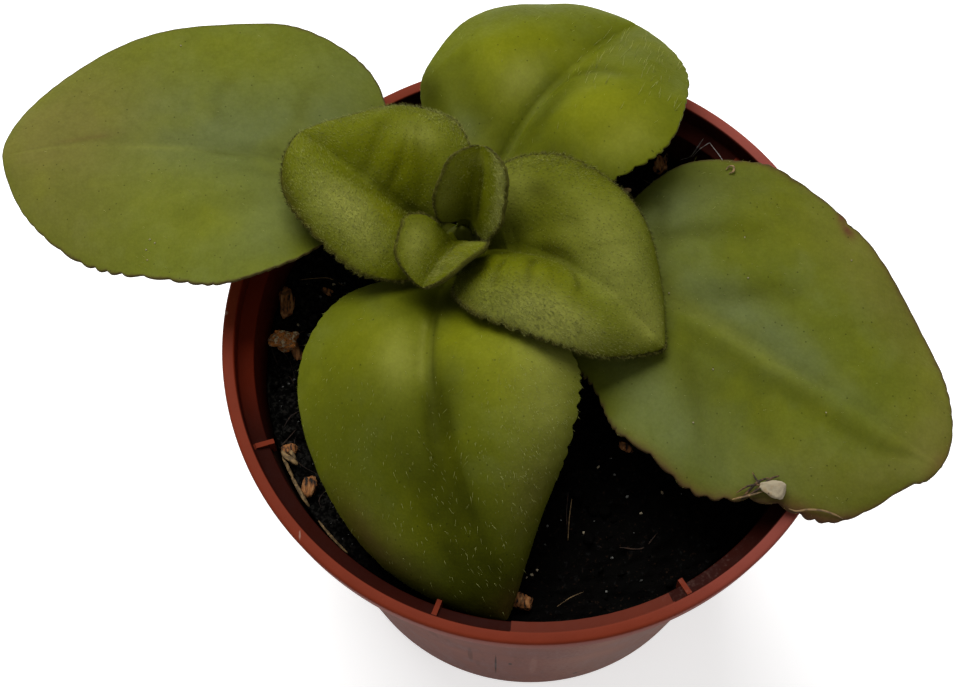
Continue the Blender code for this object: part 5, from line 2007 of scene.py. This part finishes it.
class PRIMULINA_OT_leaves(bpy.types.Operator):
    """Make all the leaves with their veins, creases and teeth"""

    bl_idname = "primulina.leaves"
    bl_label = "Leaves"

    def execute(self, context):
        old = leaf_finish("leaf_old", context.scene.primulina_old, **OLD_TISSUE)
        young = leaf_finish("leaf_young", context.scene.primulina_young, **YOUNG_TISSUE)
        for leaf in LEAVES:
            finish, slot = (young, "leaf_young") if leaf.young else (old, "leaf_old")
            shape, values = leaf_shape(leaf, leaf_grid(leaf))
            add_piece("fine_" + leaf.name, shape, finish, slot, [leaf.name], values)
        return {"FINISHED"}


class PRIMULINA_OT_hairs(bpy.types.Operator):
    """Make the hairs on the leaves and the fringe along their margins"""

    bl_idname = "primulina.hairs"
    bl_label = "Hairs"

    def execute(self, context):
        hair = context.scene.primulina_hair
        pale = hair_finish("hair_pale", hair.pale, grain=0.0015, darkest=0.5)
        velvet = hair_finish("hair_velvet", hair.velvet, grain=0.0015, darkest=0.6)
        dull = hair_finish("hair_fringe", hair.fringe, grain=0.0004, darkest=0.2)
        for index, leaf in enumerate(LEAVES):
            slot, on_blade, on_margin = "leaf_old", pale, velvet
            if leaf.young:
                slot, on_blade, on_margin = "leaf_young", velvet, dull
            grid = leaf_grid(leaf)
            rng = np.random.default_rng(index + 1)
            tufts = joined([tuft_shape(tuft, grid, rng) for tuft in leaf.tufts])
            add_piece("hairs_" + leaf.name, tufts, on_blade, slot)
            fringe = fringe_shape(leaf, grid, rng, hair.thickness)
            add_piece("fringe_" + leaf.name, fringe, on_margin, slot)
        return {"FINISHED"}


class PRIMULINA_OT_stage(bpy.types.Operator):
    """Make the floor, the soft light and the camera"""

    bl_idname = "primulina.stage"
    bl_label = "Stage"

    def execute(self, context):
        stage = context.scene.primulina_stage
        make_floor(stage)
        make_light(stage)
        make_camera()
        context.scene.view_settings.view_transform = "Standard"
        return {"FINISHED"}


class PRIMULINA_PT_panel(bpy.types.Panel):
    """The sidebar panel with every step and setting"""

    bl_idname = "PRIMULINA_PT_panel"
    bl_label = "Potted Primulina"
    bl_space_type = "VIEW_3D"
    bl_region_type = "UI"
    bl_category = "Primulina"

    def draw(self, context):
        for operator in OPERATORS:
            self.layout.operator(operator.bl_idname)
        for name, group in SETTINGS.items():
            box = self.layout.box()
            box.label(text=group.__doc__)
            for prop in group.__annotations__:
                box.prop(getattr(context.scene, name), prop)


SETTINGS = {
    "primulina_pot": PrimulinaPotSettings,
    "primulina_mix": PrimulinaMixSettings,
    "primulina_old": PrimulinaOldLeafSettings,
    "primulina_young": PrimulinaYoungLeafSettings,
    "primulina_hair": PrimulinaHairSettings,
    "primulina_stage": PrimulinaStageSettings,
}
OPERATORS = (
    PRIMULINA_OT_pot,
    PRIMULINA_OT_mix,
    PRIMULINA_OT_grains,
    PRIMULINA_OT_strands,
    PRIMULINA_OT_stem,
    PRIMULINA_OT_leaves,
    PRIMULINA_OT_hairs,
    PRIMULINA_OT_stage,
)
CLASSES = (*SETTINGS.values(), *OPERATORS, PRIMULINA_PT_panel)


def register():
    for made in CLASSES:
        bpy.utils.register_class(made)
    for name, group in SETTINGS.items():
        setattr(bpy.types.Scene, name, PointerProperty(type=group))


def unregister():
    for name in SETTINGS:
        delattr(bpy.types.Scene, name)
    for made in reversed(CLASSES):
        bpy.utils.unregister_class(made)


def main():
    """Makes every piece."""
    register()
    bpy.ops.primulina.pot()
    bpy.ops.primulina.mix()
    bpy.ops.primulina.grains()
    bpy.ops.primulina.strands()
    bpy.ops.primulina.stem()
    bpy.ops.primulina.leaves()
    bpy.ops.primulina.hairs()
    bpy.ops.primulina.stage()
    bpy.context.view_layer.update()


if __name__ == "__main__":
    main()
